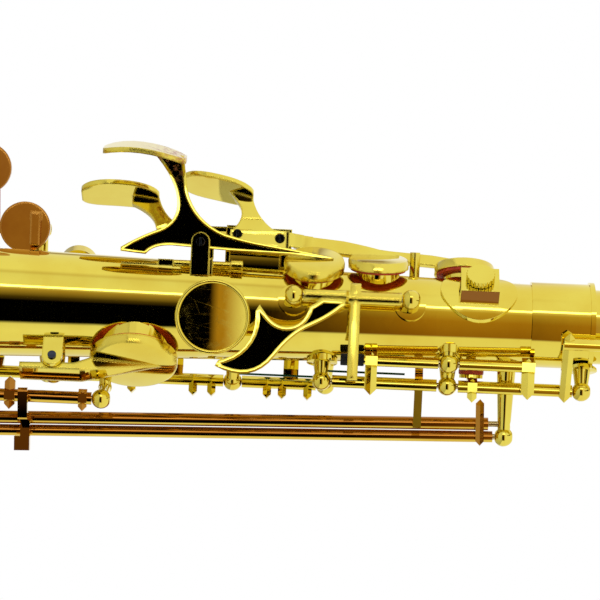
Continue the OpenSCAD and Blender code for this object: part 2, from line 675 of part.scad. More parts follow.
// The front rail has a leaning face, with seats for the heads of its screws
rail_top = 35;
rail_foot = 24;
rail_seat = front_rail_y - 0.5;
head_d = 3.6;
head_t = 0.8;
module front_rail() difference() {
  reach = (rail_top - rail_foot) * tan(plate_lean);
  union() {
    back_plate(front_rail_y, rail_t) rail2d(-128, -103, rail_top);
    translate([0, 0, -128]) linear_extrude(23.4) polygon([
      [-rail_top, front_rail_y], [-6, front_rail_y],
      [-6, front_rail_y - reach], [-rail_foot, front_rail_y - reach]
    ]);
  }
  translate([-27.5, front_rail_y - 20, -106.5]) cube([22, 20, 10]);
  for (key = [palm_eb, palm_f]) translate([-key[2], rail_seat - 20, key[1]]) rotate([-90, 0, 0])
    cylinder(h = 20, d = head_d + 0.6);
}
module key_brackets() color(brass) placed() {
  difference() {
    union() {
      back_plate(palm_d[0] - cheek_gap - cheek_t, cheek_t) cheek2d(palm_d[1], 29);
      back_plate(palm_d[0] + plate_t + cheek_gap, cheek_t) cheek2d(palm_d[1] + 1.6, 30);
      translate([-21.9, palm_d[0] - 2.5, palm_d[1] - cheek_w / 2]) cube([8, 8.2, cheek_w + 1.6]);
      spring_rod();
      front_rail();
      back_plate(mid_rail_y, rail_t) rail2d(-130, -102, 36);
      back_plate(rear_rail_y, rail_t) rail2d(-130, -118, 37);
      out_at(side_c_cup[0], 0, 0) for (s = [-1, 1])
        translate([s * (side_c_w / 2 + cheek_gap + cheek_t / 2) - cheek_t / 2, 0, 0])
        rotate([90, 0, 90]) linear_extrude(cheek_t) {
          translate([side_c_pin[0], side_c_pin[1]]) circle(d = cheek_w + 0.6);
          translate([side_c_pin[0] - cheek_w / 2 - 0.3, 12]) square([cheek_w + 0.6, side_c_pin[1] - 12]);
        }
    }
    tube_core();
    pin_bore(palm_d);
    pin_bore(palm_eb);
    pin_bore(palm_f);
    side_pin_bore();
  }
  // Vents of the octave keys and the spout of the water key
  difference() {
    translate([10, vent_pad_y, vent_pad_z]) rotate([0, 90, 0])
      cylinder(h = vent_pad_x - seat_gap - 10, d = vent_d);
    tube_core();
  }
  difference() {
    translate([bow_vent[0], -10, bow_vent[1]]) rotate([90, 0, 0]) cylinder(h = bow_vent_h - 10, d = vent_d);
    cylinder(h = 100, r = bow_r(0) - 0.5);
  }
  translate([0, 0, small_bend_low - water_spout]) translate([0, bow_y + small_bend, 0])
    cylinder(h = water_spout - 0.2, d = vent_d + 1);
  at_neck(0) difference() {
    rotate([-90, 0, 0]) cylinder(h = neck_key_pin[1] - 5 - seat_gap, d = vent_d);
    translate([0, 0, -10]) cylinder(h = 20, r = neck_r(0.77));
  }
  // Cheeks of the neck octave key and of the water key
  for (s = [-1, 1]) at_neck(0) difference() {
    translate([s * (neck_key_w / 2 + cheek_gap + small_cheek / 2) - small_cheek / 2, 0, 0])
      rotate([90, 0, 90]) linear_extrude(small_cheek) {
        translate([neck_key_pin[1], neck_key_pin[0]]) circle(r = 3.2);
        translate([3, neck_key_pin[0] - 2.8]) square([neck_key_pin[1] - 3, 5.6]);
      }
    cylinder(h = 60, r = mix(neck_r0, neck_tip_d / 2, 0.85));
    neck_pin_bore();
  }
  for (s = [-1, 1]) difference() {
    translate([s * (neck_key_w / 2 + cheek_gap + small_cheek / 2) - small_cheek / 2, 0, 0])
      rotate([90, 0, 90]) linear_extrude(small_cheek) bar2d(water_pin, water_pin + [-3, 9], 6.4);
    translate([0, bow_y + small_bend, bow_down]) rotate([0, 90, 0]) rotate_extrude()
      translate([small_bend, 0]) circle(r = bow_r(0.83) + 0.1);
    water_pin_bore();
  }
  // Guide post beside the palm F lever
  difference() {
    translate([-10, palm_f[0] - 3, -49.2]) rotate([0, -90, 0]) cylinder(h = 18.5, d = 4.4);
    tube_core();
  }
}
// Rod with a flat spring in the base of the palm D bracket
module spring_rod() translate([-19.4, -12.6, 0]) {
  translate([0, 0, -151.5]) cylinder(h = 29, d = 3);
  translate([0, 0, -127]) cylinder(h = 5, d = 4.8);
  translate([-1.6, -1.7, -157.5]) cube([2.8, 2.7, 6.5]);
  translate([0.3, -1.4, -173]) cube([0.8, 2, 16]);
}
module side_pin_bore() {
  out_at(side_c_cup[0], side_c_pin[0], side_c_pin[1]) rotate([0, 90, 0])
    cylinder(h = 60, d = rod_d + 2 * run_clear, center = true);
}
module palm_pin(key, y0, y1, head = true) translate([-key[2], y0, key[1]]) rotate([-90, 0, 0]) {
  cylinder(h = y1 - y0, d = rod_d);
  if (head) difference() {
    translate([0, 0, -head_t]) cylinder(h = head_t, d = head_d);
    translate([-3, -0.3, -head_t - 0.1]) cube([6, 0.6, 0.5]);
  }
}
module pivot_screws() color(steel) placed() {
  palm_pin(palm_d, palm_d[0] - cheek_gap - cheek_t, palm_d[0] + plate_t + cheek_gap + cheek_t);
  palm_pin(palm_eb, rail_seat, mid_rail_y + rail_t);
  palm_pin(palm_f, rail_seat, front_rail_y + rail_t);
  palm_pin(palm_f, mid_rail_y, rear_rail_y + rail_t, false);
  half = side_c_w / 2 + cheek_gap + cheek_t;
  out_at(side_c_cup[0], side_c_pin[0], side_c_pin[1]) rotate([0, 90, 0]) {
    cylinder(h = 2 * half, d = rod_d, center = true);
    translate([0, 0, -half - head_t]) cylinder(h = head_t, d = head_d);
  }
  small_half = neck_key_w / 2 + cheek_gap + small_cheek;
  at_neck(0) translate([0, neck_key_pin[1], neck_key_pin[0]]) rotate([0, 90, 0])
    cylinder(h = 2 * small_half, d = rod_d, center = true);
  translate([0, water_pin[0], water_pin[1]]) rotate([0, 90, 0])
    cylinder(h = 2 * small_half, d = rod_d, center = true);
}
module side_c_key() color(brass) placed() difference() {
  union() {
    out_at(side_c_cup[0], 0, 0) intersection() {
      translate([-side_c_w / 2, 0, 0]) rotate([90, 0, 90]) linear_extrude(side_c_w) {
        polygon([
          [-213, 32], [-213, 34.7], [-187, 34.7], [-180, 33.4], [-154.5, 28.7], [-154.5, 27.8], [-183, 27.8],
          [-190, 31.4]
        ]);
        translate([side_c_pin[0], side_c_pin[1]]) circle(r = 3.2);
      }
      half = side_c_w / 2;
      linear_extrude(40) polygon([
        [-half, -214], [half, -214], [half, -188], [half - 0.6, -183], [0.3, -154.5], [-0.3, -154.5],
        [0.6 - half, -183], [-half, -188]
      ]);
    }
    closed_cup(side_c_cup, side_cup_d);
  }
  side_pin_bore();
}
module side_c_pad() color(pad_red) placed() closed_pad(side_c_cup, side_cup_d);

// Octave mechanism on the back of the tube: hinge places [x, y]
octave_at = [-8.2, -26];
rocker_at = [17.8, -14];
vent_at = [27.3, -8];
lever_front = -29.4;
lever_bar = [[-12, octave_at[1] - 0.5], [24, octave_at[1] + 0.5]];
lever_bar_z = -76.7;
lever_bar_w = 4.4;
module octave_thumb_lever() color(brass) placed() difference() {
  union() {
    translate([octave_at[0], octave_at[1], -96]) cylinder(h = 40.7, d = hinge_d + 0.3);
    back_plate(lever_front, 2.6) polygon(concat(
      [seen(-114, 3.6)],
      curve(seen(-112, 0.9), seen(-108, -5), seen(-102.7, -5.1)),
      curve(seen(-102.7, -5.1), seen(-95.5, -5), seen(-93.2, 3.7)),
      [seen(-88, 7), seen(-79, 7)],
      curve(seen(-78.5, 5), seen(-84, -0.5), seen(-92.8, -4.7)),
      curve(seen(-92.8, -4.7), seen(-100, -8), seen(-106.9, -17.6)),
      curve(seen(-106.9, -17.6), seen(-116, -30), seen(-131.5, -22.5)),
      [for (a = [-80:10:15]) seen(thumb_at[0] + 18 * cos(a), thumb_at[1] + 18 * sin(a))]
    ));
    intersection() {
      translate([0, 0, lever_bar_z]) linear_extrude(lever_bar_w) bar2d(lever_bar[0], lever_bar[1], lever_bar_w);
      ridged(lever_bar[1] + [5, 0], lever_bar[0] - [5, 0], lever_bar_w, lever_bar_z, lever_bar_w);
    }
  }
  hinge_bore(octave_at, -96.7, -54.6);
}
// Hexagonal collar with a pointed bar that reaches past a hinge tube
module link_bar(at, z, w, reach, back = 3.6) {
  pointed(z, w, at[0] - back, at[0] + reach, 0.5 * w) intersection() {
    translate([0, 0, z]) linear_extrude(w) polygon([
      at + [-back, -2.6], at + [reach, -2.6], at + [reach, 1.9], at + [-2, 2.6], at + [-back, 0.8]
    ]);
    ridged(at + [reach, 0], at + [-back, 0], 5.2, z, w);
  }
  translate([at[0], at[1], z]) cylinder(h = w, d = 7.6, $fn = 6);
}
module octave_rocker() color(brass) placed() difference() {
  union() {
    translate([rocker_at[0], rocker_at[1], -69]) cylinder(h = 30.5, d = hinge_d - 0.4);
    link_bar(rocker_at, -69, 5, 14.5);
    translate([rocker_at[0], rocker_at[1], -79.3]) cylinder(h = 10.5, d = 3.6);
  }
  hinge_bore(rocker_at, -69, -38.5);
}
module octave_link() color(brass) placed() difference() {
  union() {
    translate([rocker_at[0], rocker_at[1], -29.5]) cylinder(h = 31.5, d = hinge_d - 0.4);
    link_bar(rocker_at, -3.5, 5.5, 13.7);
  }
  hinge_bore(rocker_at, -29.5, 2);
}
module side_key_transfer() color(brass) placed() difference() {
  union() {
    translate([vent_at[0], vent_at[1], -82.5]) cylinder(h = 44, d = hinge_d);
    translate([0, 0, -47.7]) linear_extrude(3.4) {
      strip2d(vent_at, [45.2, -5.7], 3.2);
      strip2d(vent_at, vent_at + [-6.3, 2.8], 3);
    }
  }
  hinge_bore(vent_at, -82.5, -38.5);
}
// Vent key: pad over the body vent and, through its arm, over the vent of the upper bow
vent_d = 5;
vent_cup_d = 10;
vent_pad_x = 20.2;
vent_pad_y = 3;
vent_pad_z = -23.5;
bow_vent = [7.3, 45];
bow_vent_h = 16.3;
bow_vent_cup = 17.5;
vent_rod_y = -22.5;
vent_arm_z = 13;
module octave_vent_key() color(brass) placed() difference() {
  union() {
    translate([vent_at[0], vent_at[1], -29.5]) cylinder(h = 48, d = hinge_d);
    link_bar(vent_at, -25.5, 4, 6.5);
    translate([0, 0, vent_pad_z - 2]) linear_extrude(4) bar2d(vent_at, [vent_pad_x + 3.6, vent_pad_y], 3);
    translate([vent_pad_x, vent_pad_y, vent_pad_z]) rotate([0, 90, 0]) cylinder(h = 3.6, d = vent_cup_d);
    pointed(vent_arm_z, 4.4, 2.8, 32.2, 2.2) ridged(vent_at + [5.6, -0.2], [1.9, -24.8], 4.2, vent_arm_z, 4.4);
    translate([bow_vent[0], vent_rod_y, vent_arm_z]) cylinder(h = bow_vent[1] - vent_arm_z + 3, d = hinge_d);
    translate([bow_vent[0], -bow_vent_cup, bow_vent[1]]) rotate([90, 0, 0]) cylinder(h = 3, d = vent_cup_d);
  }
  hinge_bore(vent_at, -29.5, 18.5);
}

// Long side key levers, parallel to the side of the tube: distance of the inner one, lean and spacing
long_x = 42.4;
long_lean = atan(0.0282);
long_step = 5.4;
long_end = -355;
long_d = [5.4, 4.8];
module long_frame(k) translate([long_x + k * long_step, 0, 0]) rotate([0, -long_lean, 0]) children();
module long_tube(z1, d) difference() {
  translate([0, 0, long_end]) cylinder(h = z1 - long_end, d = d);
  translate([0, 0, long_end - 1]) cylinder(h = z1 - long_end + 2, d = rod_d + 2 * run_clear);
}
module long_arm(z, w) translate([0, 0, z]) linear_extrude(w) difference() {
  children();
  circle(d = rod_d + 2 * run_clear);
}
module side_touch(z) long_arm(z, 26) {
  bar2d([0, 0], [9, -7], 3);
  bar2d([9, -7], [12, -18], 2.4);
}
module side_c_lever() color(brass) placed() long_frame(0) {
  long_tube(-15.6, long_d[0]);
  long_arm(-213, 4) {
    bar2d([0, 0], [-1.5, -18.5], 3.4);
    bar2d([-1.5, -18.5], [-11.5, -19.5], 3.4);
    strip2d([-0.6, -6.2], [11, -6.2], 3.4);
  }
  translate([7.6, -9, -215.4]) cube([6, 4.8, 6.4]);
  long_arm(-342, 22) {
    bar2d([0, 0], [-1, -12], 3);
    bar2d([-1, -12], [8, -20], 2.4);
  }
}
module side_bb_lever() color(brass) placed() long_frame(1) {
  long_tube(-13.6, long_d[1]);
  long_arm(-21, 3.5) strip2d([0, 0], [0, -4.9], 3.4);
  pointed(-21, 3.5, -16, 3.6, 1.8) ridged([3.6, -4.9], [-16, -4.9], 3, -21, 3.5);
  side_touch(-314);
}

// Side trill lever on its own hinge tube
trill_at = [38.8, -11.9];
trill_z = [-289, -183];
module side_trill_lever() color(brass) placed() difference() {
  union() {
    translate([trill_at[0], trill_at[1], trill_z[0]]) cylinder(h = trill_z[1] - trill_z[0], d = hinge_d);
    link_bar(trill_at, -188.5, 3.6, 5.4);
    link_bar(trill_at, -219.5, 4.4, 5.8, 8);
    translate([0, 0, -286]) linear_extrude(24) {
      bar2d(trill_at, trill_at + [5, -9], 2.6);
      bar2d(trill_at + [5, -9], trill_at + [4, -19], 2.2);
    }
  }
  hinge_bore(trill_at, trill_z[0], trill_z[1]);
}

// Keys on hinge tubes along the body or the bell, drawn with the cup facing +Y
arm_w = 6.5;
arm_t = 3;
pearl_d = 16;
pearl_phi = 143;
module opened(at, angle) {
  translate([at[0], at[1], 0]) rotate([0, 0, -angle]) translate([-at[0], -at[1], 0]) children();
}
module rod_key(k, r, angle) {
  at = k[2];
  top = r + seat_gap + cup_h + 1;
  color(brass) opened(at, angle) difference() {
    union() {
      translate([at[0], at[1], k[3]]) cylinder(h = k[4] - k[3], d = hinge_d);
      translate([0, r + seat_gap, k[0]]) rotate([-90, 0, 0]) cup(k[1]);
      translate([0, 0, k[0] - arm_w / 2]) linear_extrude(arm_w) {
        bar2d(at, [at[0] - 6, top], arm_t);
        bar2d([at[0] - 6, top], [0, top], arm_t);
      }
      children();
    }
    hinge_bore(at, k[3], k[4]);
  }
  color(pad_red) opened(at, angle) translate([0, r + seat_gap, k[0]]) rotate([-90, 0, 0])
    cylinder(h = pad_t - run_clear, d = k[1] - 2 - 2 * run_clear);
}
// Pointed end of an arm that shows beside the hinge tube
module arm_tip(at, z) pointed(z - 1.8, 3.6, at[0] - 4, at[0] + 7, 1.8)
  ridged(at + [7, 0], at + [-2, 0], 5.2, z - 1.8, 3.6);
// Pearl touch on its own arm, on the left of the tube
module pearl_arm(at, z) {
  r = tube_r(z) + 6;
  translate([0, 0, z - 2.5]) linear_extrude(5) strip2d(at, [-16.5, tube_r(z) + 4.4], 2.8);
  out_at(pearl_phi, z, r) cylinder(h = 4.6, d = pearl_d);
}
// Pearl touch beyond the cup, on the same arm
module pearl_beyond(k, r) {
  top = r + seat_gap + cup_h + 1;
  reach = k[1] / 2 + 11;
  translate([0, 0, k[0] - arm_w / 2]) linear_extrude(arm_w) bar2d([0, top], [-reach, top], arm_t);
  translate([-reach, top - arm_t / 2, k[0]]) rotate([-90, 0, 0]) cylinder(h = 4.6, d = pearl_d + 1);
}
module upper_c_key() placed() rod_key(c_key, rim_r(c_key[0]), stand_open)
  for (z = [-92.5, -103.5, -110]) arm_tip(c_key[2], z);
module upper_b_key() placed() rod_key(b_key, rim_r(b_key[0]), stand_open) {
  pearl_arm(b_key[2], -194);
  for (z = [-134, -142, -168.5]) arm_tip(b_key[2], z);
}
module upper_a_key() placed() rod_key(a_key, rim_r(a_key[0]), stand_open) pearl_arm(a_key[2], -262);
module upper_g_key() placed() rod_key(g_key, rim_r(g_key[0]), stand_open) pearl_arm(g_key[2], -335);
module lower_f_key() placed() rod_key(f_key, rim_r(f_key[0]), stand_open)
  pearl_beyond(f_key, rim_r(f_key[0]));
module lower_e_key() placed() rod_key(e_key, rim_r(e_key[0]), stand_open)
  pearl_beyond(e_key, rim_r(e_key[0]));
module lower_d_key() placed() rod_key(d_key, rim_r(d_key[0]), stand_open)
  pearl_beyond(d_key, rim_r(d_key[0]));
// Flat touch of a low key
module spatula(at, to, z, w) translate([0, 0, z]) linear_extrude(w) bar2d(at, to, 2.6);
module g_sharp_key() placed() body_turn(g_sharp_phi) rod_key(g_sharp, rim_r(g_sharp[0]), 0)
  spatula(g_sharp[2], [44, 34], g_sharp[0] - 4, 18);
module low_eb_key() placed() body_turn(low_eb_phi) rod_key(low_eb, rim_r(low_eb[0]), 0)
  spatula(low_eb[2], [56, 26], low_eb[0] + 12, 16);
module low_c_key() placed() rod_key(low_c, rim_r(low_c[0]), stand_open)
  spatula(low_c[2], [63, 30], low_c[0] + 18, 18);
module low_c_sharp_key() placed() bell_turn(low_c_sharp_turn)
  rod_key(low_c_sharp, bell_rim_r(low_c_sharp[0]), 0)
  spatula(low_c_sharp[2], [58, 34], low_c_sharp[0] + 15, 14);
module low_b_key() placed() bell_turn(low_b_turn) rod_key(low_b, bell_rim_r(low_b[0]), stand_open)
  spatula(low_b[2], [62, 52], low_b[0] + 30, 16);
module low_bb_key() placed() bell_turn(low_b_turn) rod_key(low_bb, bell_rim_r(low_bb[0]), stand_open)
  spatula(low_bb[2], [67.6, 43.4], low_bb[0] - 22, 16);

// Front F key: two round touches on one hinge tube
front_f_at = [-32, 22];
front_f_z = [-233, -213.5];
front_f_touch_d = 21.6;
module front_f_key() color(brass) placed() difference() {
  union() {
    translate([front_f_at[0], front_f_at[1], front_f_z[0]])
      cylinder(h = front_f_z[1] - front_f_z[0], d = hinge_d);
    translate([0, 0, -217.5]) linear_extrude(4) bar2d(front_f_at, front_f_at + [-3, -11], 3);
    translate([0, 0, -213.4]) linear_extrude(4.2) {
      strip2d([-37, 10], [-37, 4.2], 3);
      strip2d([-37, 5.6], [-24.6, 5.6], 2.8);
    }
    translate([-32.4, 11.2, -216]) rotate([90, 0, 0]) cylinder(h = 3, d = front_f_touch_d);
    translate([0, 0, -232]) linear_extrude(4) bar2d(front_f_at, [-56, 14], 3);
    translate([-57, 15, -234]) rotate([90, 0, 0]) cylinder(h = 3, d = front_f_touch_d);
  }
  hinge_bore(front_f_at, front_f_z[0], front_f_z[1]);
}

// Posts: conical leg, round foot and ball with flat sides
ball_flat = post_gap - 0.3;
leg_r = [4.2, 2.5];
foot = [6.5, 3.4];
module post_ball(at, z) translate([at[0], at[1], z]) intersection() {
  sphere(r = ball_r);
  translate([0, 0, -ball_flat]) cylinder(h = 2 * ball_flat, r = ball_r + 1);
}
// The foot stands straight below the ball, or turned round the tube by an angle
module rod_post(at, z, r, turn = 0, foot_r = foot[0]) {
  side = atan2(at[1], at[0]) + turn;
  a = [(r - 2) * cos(side), (r - 2) * sin(side), z];
  b = [at[0], at[1], z];
  difference() {
    union() {
      toward(a, b) {
        cylinder(h = norm(b - a), r1 = min(leg_r[0], foot_r - 0.5), r2 = leg_r[1]);
        cylinder(h = foot[1], r = foot_r);
      }
      post_ball(at, z);
    }
    hinge_bore(at, z - 20, z + 20);
  }
}
function ends(k) = [k[3] - 0.3 - ball_flat, k[4] + 0.3 + ball_flat];
rocker_post_z = -34;
// The upper post of the trill lever stands on a bent leg that goes round the side C cup
bent_z = -179;
bent_phi = -106;
bent_r = 36;
bent_foot_r = 4.5;
module bent_post() {
  low = polar(bent_phi, tube_r(bent_z) - 2);
  elbow = polar(bent_phi, bent_r);
  leg_end = leg_r[1] - 0.4;
  difference() {
    union() {
      toward([low[0], low[1], bent_z], [elbow[0], elbow[1], bent_z]) {
        cylinder(h = norm(elbow - low), r = leg_r[1]);
        cylinder(h = foot[1], r = bent_foot_r);
      }
      translate([elbow[0], elbow[1], bent_z]) sphere(r = leg_r[1] + 0.4);
      toward([elbow[0], elbow[1], bent_z], [trill_at[0], trill_at[1], bent_z])
        cylinder(h = norm(trill_at - elbow), r1 = leg_r[1], r2 = leg_end);
      post_ball(trill_at, bent_z);
    }
    hinge_bore(trill_at, bent_z - 20, bent_z + 20);
  }
}
// Hinge places on the body with the heights of their posts
body_posts = [
  [octave_at, [-100, -51.3]], [rocker_at, [rocker_post_z]], [vent_at, [-87, -34]],
  [c_key[2], [-85, -125, -205, -273, -347]], [lower_at, lower_posts], [low_c[2], ends(low_c)],
  [trill_at, [bent_z, -293]], [front_f_at, [-209.5, -237]]
];
long_post_z = [-8.8, -359];
module ball_posts() color(brass) placed() {
  difference() {
    union() {
      for (p = body_posts, z = p[1]) if (z != bent_z && p[0] != rocker_at)
        rod_post(p[0], z, tube_r(z), 0, p[0] == front_f_at ? 4.2 : foot[0]);
      rod_post(rocker_at, rocker_post_z, tube_r(rocker_post_z), -12, 3.9);
      bent_post();
      body_turn(g_sharp_phi) for (z = ends(g_sharp)) rod_post(g_sharp[2], z, tube_r(z));
      body_turn(low_eb_phi) for (z = ends(low_eb)) rod_post(low_eb[2], z, tube_r(z));
      long_posts();
    }
    tube_core();
    springs();
  }
  difference() {
    rod_post(vent_at, 22.5, top_d / 2 + collar_t);
    translate([0, 0, -5]) cylinder(h = 60, r = top_d / 2 + collar_t + 0.85, $fn = fine);
  }
  difference() {
    union() {
      bell_turn(low_b_turn) for (k = [low_b, low_bb], z = ends(k)) rod_post(k[2], z, bell_r(z));
      bell_turn(low_c_sharp_turn) for (z = ends(low_c_sharp)) rod_post(low_c_sharp[2], z, bell_r(z));
    }
    translate([0, bell_gap, 0]) rotate_extrude($fn = fine) bell_profile(0);
  }
}
module long_posts() difference() {
  for (z = long_post_z) {
    x = long_x + long_step - z * tan(long_lean);
    toward([tube_r(z) - 2, 0, z], [x, 0, z]) {
      cylinder(h = x - tube_r(z) + 2, r1 = leg_r[0], r2 = leg_r[1]);
      cylinder(h = foot[1], r = foot[0]);
    }
    for (dx = z < -100 ? [0, -long_step] : [0]) post_ball([x + dx, 0], z);
  }
  for (k = [0, 1]) long_frame(k) translate([0, 0, long_end - 20])
    cylinder(h = 500, d = rod_d + 2 * run_clear);
}
module z_rod(at, z0, z1) translate([at[0], at[1], z0]) cylinder(h = z1 - z0, d = rod_d);
module hinge_rods() color(steel) placed() {
  past = 3.6;
  for (p = body_posts) z_rod(p[0], min(p[1]) - past - (p[0] == rocker_at ? 30 : 0),
    p[0] == vent_at ? 22.5 + past : max(p[1]) + past + (p[0] == rocker_at ? 31 : 0));
  body_turn(g_sharp_phi) z_rod(g_sharp[2], ends(g_sharp)[0] - past, ends(g_sharp)[1] + past);
  body_turn(low_eb_phi) z_rod(low_eb[2], ends(low_eb)[0] - past, ends(low_eb)[1] + past);
  bell_turn(low_b_turn) for (k = [low_b, low_bb]) z_rod(k[2], ends(k)[0] - past, ends(k)[1] + past);
  bell_turn(low_c_sharp_turn) z_rod(low_c_sharp[2], ends(low_c_sharp)[0] - past, ends(low_c_sharp)[1] + past);
  for (k = [0, 1]) long_frame(k) translate([0, 0, long_end - 7.5])
    cylinder(h = -long_end + 7.5 - 8, d = rod_d);
}
// Blued needle springs beside the hinge tubes, each set in the leg of its post
module needle_springs() color("steelblue") placed() springs();
module springs() {
  for (z = [-125, -205, -273]) z_spring(c_key[2] + [-3.36, -2.69], z, 35);
  for (n = [1, 2, 3]) z_spring(lower_at + [-3.36, -2.69], lower_posts[n], 39);
  z_spring(vent_at + [-4.13, 1.21], -87, 35);
}
spring_d = 0.9;
module z_spring(at, z, l) translate([at[0], at[1], z]) cylinder(h = l, d = spring_d);

// Guards over the large open cups, with a felt under each bridge
guard_rise = 20;
guard_t = 3;
guard_w = 9;
guard_felt_t = 2;
module guard(k, r, base) {
  half = k[1] / 2 + 9;
  top = r + guard_rise;
  translate([-guard_w / 2, top, k[0] - half]) cube([guard_w, guard_t, 2 * half]);
  for (s = [-1, 1]) translate([-guard_w / 2, base - 3, k[0] + s * half - guard_t / 2])
    cube([guard_w, top - base + 3 + guard_t, guard_t]);
}
module guard_felt(k, r) {
  translate([0, r + guard_rise - guard_felt_t, k[0]]) rotate([-90, 0, 0])
    cylinder(h = guard_felt_t, d = guard_w);
}
module key_guards() color(brass) placed() {
  difference() {
    guard(low_c, rim_r(low_c[0]), tube_r(low_c[0] + 40));
    tube_core();
  }
  difference() {
    bell_turn(low_b_turn) for (k = [low_b, low_bb]) guard(k, bell_rim_r(k[0]), bell_r(k[0] - 40));
    translate([0, bell_gap, 0]) rotate_extrude($fn = fine) bell_profile(0);
  }
}
module guard_felts() color("darkgreen") placed() {
  guard_felt(low_c, rim_r(low_c[0]));
  bell_turn(low_b_turn) for (k = [low_b, low_bb]) guard_felt(k, bell_rim_r(k[0]));
}

// Neck octave key on two cheeks over the neck
neck_key_pin = [26, 15];
neck_key_w = 6;
small_cheek = 1.8;
module neck_pin_bore() translate([0, neck_key_pin[1], neck_key_pin[0]]) rotate([0, 90, 0])
  cylinder(h = 30, d = rod_d + 2 * run_clear, center = true);
module neck_octave_key() color(brass) placed() at_neck(0) difference() {
  union() {
    translate([-neck_key_w / 2, 0, 0]) rotate([90, 0, 90]) linear_extrude(neck_key_w) {
      bar2d([neck_key_pin[1], neck_key_pin[0]], [neck_key_pin[1], -6], 2.6);
      bar2d([neck_key_pin[1], neck_key_pin[0]], [neck_key_pin[1] + 4, 48], 2.6);
      translate([neck_key_pin[1], neck_key_pin[0]]) circle(r = 3);
    }
    translate([0, neck_key_pin[1] - 5, 0]) rotate([-90, 0, 0]) cylinder(h = 4.4, d = vent_cup_d);
  }
  neck_pin_bore();
}
// Water key under the small bend of the upper bow
small_bend_low = bow_down - small_bend - bow_r(0.83);
water_spout = 3;
water_pin = [neck_y - 10, -14];
module water_pin_bore() translate([0, water_pin[0], water_pin[1]]) rotate([0, 90, 0])
  cylinder(h = 30, d = rod_d + 2 * run_clear, center = true);
module water_key() color(brass) placed() difference() {
  union() {
    translate([-neck_key_w / 2, 0, 0]) rotate([90, 0, 90]) linear_extrude(neck_key_w) {
      bar2d([bow_y + small_bend, -15], water_pin, 2.6);
      bar2d(water_pin, water_pin + [22, 4], 2.6);
      translate(water_pin) circle(r = 3);
    }
    translate([0, bow_y + small_bend, -15]) cylinder(h = 15 + small_bend_low - water_spout - seat_gap, d = 9);
  }
  water_pin_bore();
}

body_tube();
bottom_bow();
bell();
bell_brace();
ferrules();
collar();
upper_bow();
neck_receiver();
neck();
neck_cork();
mouthpiece();
ligature();
reed();
ball_posts();
key_brackets();
hinge_rods();
pivot_screws();
needle_springs();
thumb_rest();
thumb_hook();
strap_ring();
lyre_holder();
lyre_screw();
neck_screw();
key_guards();
guard_felts();
palm_d_key();
palm_d_pad();
palm_eb_key();
palm_eb_pad();
palm_f_key();
palm_f_pad();
octave_thumb_lever();
octave_rocker();
octave_link();
octave_vent_key();
side_key_transfer();
side_c_key();
side_c_pad();
side_c_lever();
side_bb_lever();
side_trill_lever();
front_f_key();
upper_c_key();
upper_b_key();
upper_a_key();
upper_g_key();
lower_f_key();
lower_e_key();
lower_d_key();
g_sharp_key();
low_eb_key();
low_c_key();
low_c_sharp_key();
low_b_key();
low_bb_key();
neck_octave_key();
water_key();
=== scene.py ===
import json
import math
import bpy
import bmesh
from mathutils import Matrix, Vector


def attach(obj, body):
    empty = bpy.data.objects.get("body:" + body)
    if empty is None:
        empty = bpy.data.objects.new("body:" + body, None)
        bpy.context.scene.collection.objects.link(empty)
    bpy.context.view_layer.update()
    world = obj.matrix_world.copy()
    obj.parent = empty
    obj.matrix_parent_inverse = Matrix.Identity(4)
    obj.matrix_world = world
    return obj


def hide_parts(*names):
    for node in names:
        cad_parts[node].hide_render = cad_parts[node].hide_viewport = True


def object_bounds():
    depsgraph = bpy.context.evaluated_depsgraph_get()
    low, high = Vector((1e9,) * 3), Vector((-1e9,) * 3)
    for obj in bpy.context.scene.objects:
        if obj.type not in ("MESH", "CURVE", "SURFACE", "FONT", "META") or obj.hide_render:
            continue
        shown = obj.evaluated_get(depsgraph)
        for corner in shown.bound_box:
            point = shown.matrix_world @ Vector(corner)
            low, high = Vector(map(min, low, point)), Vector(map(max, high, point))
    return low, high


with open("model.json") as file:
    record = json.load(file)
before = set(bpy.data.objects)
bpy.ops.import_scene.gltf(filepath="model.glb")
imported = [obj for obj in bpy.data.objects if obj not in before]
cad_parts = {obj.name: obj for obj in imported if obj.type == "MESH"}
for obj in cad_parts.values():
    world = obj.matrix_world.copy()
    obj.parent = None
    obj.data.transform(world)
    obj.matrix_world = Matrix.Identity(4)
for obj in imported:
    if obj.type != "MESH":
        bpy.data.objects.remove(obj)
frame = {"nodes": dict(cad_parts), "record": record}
cadBox = [list(c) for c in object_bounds()]
nodes = frame["nodes"]
scene = bpy.context.scene
scene.view_settings.view_transform = "Standard"
print("frame loaded:", len(nodes), "nodes")

# the frame's origin is the strap ring; tube heights count from the upper end of the body tube
tubeFrame = {"reach": 41.6625, "drop": 330.0, "topRadius": 17.0, "slope": 0.02625, "low": -800.0}


def spot(x, y, z):
    # millimetres in the tube's own frame to metres in the part's frame
    return Vector((x, y + tubeFrame["reach"], z + tubeFrame["drop"])) / 1000


def tubeRadius(z):
    return tubeFrame["topRadius"] - tubeFrame["slope"] * z


# camera: the player's side, tube lying across the picture, palm keys up
cameraSet = {"lookX": -6.2, "lookZ": -97.4, "axisY": -20.0, "away": 1180.0, "roll": 0.0429,
             "frameWide": 250.0, "sensor": 36.0, "near": 0.01, "far": 50.0}


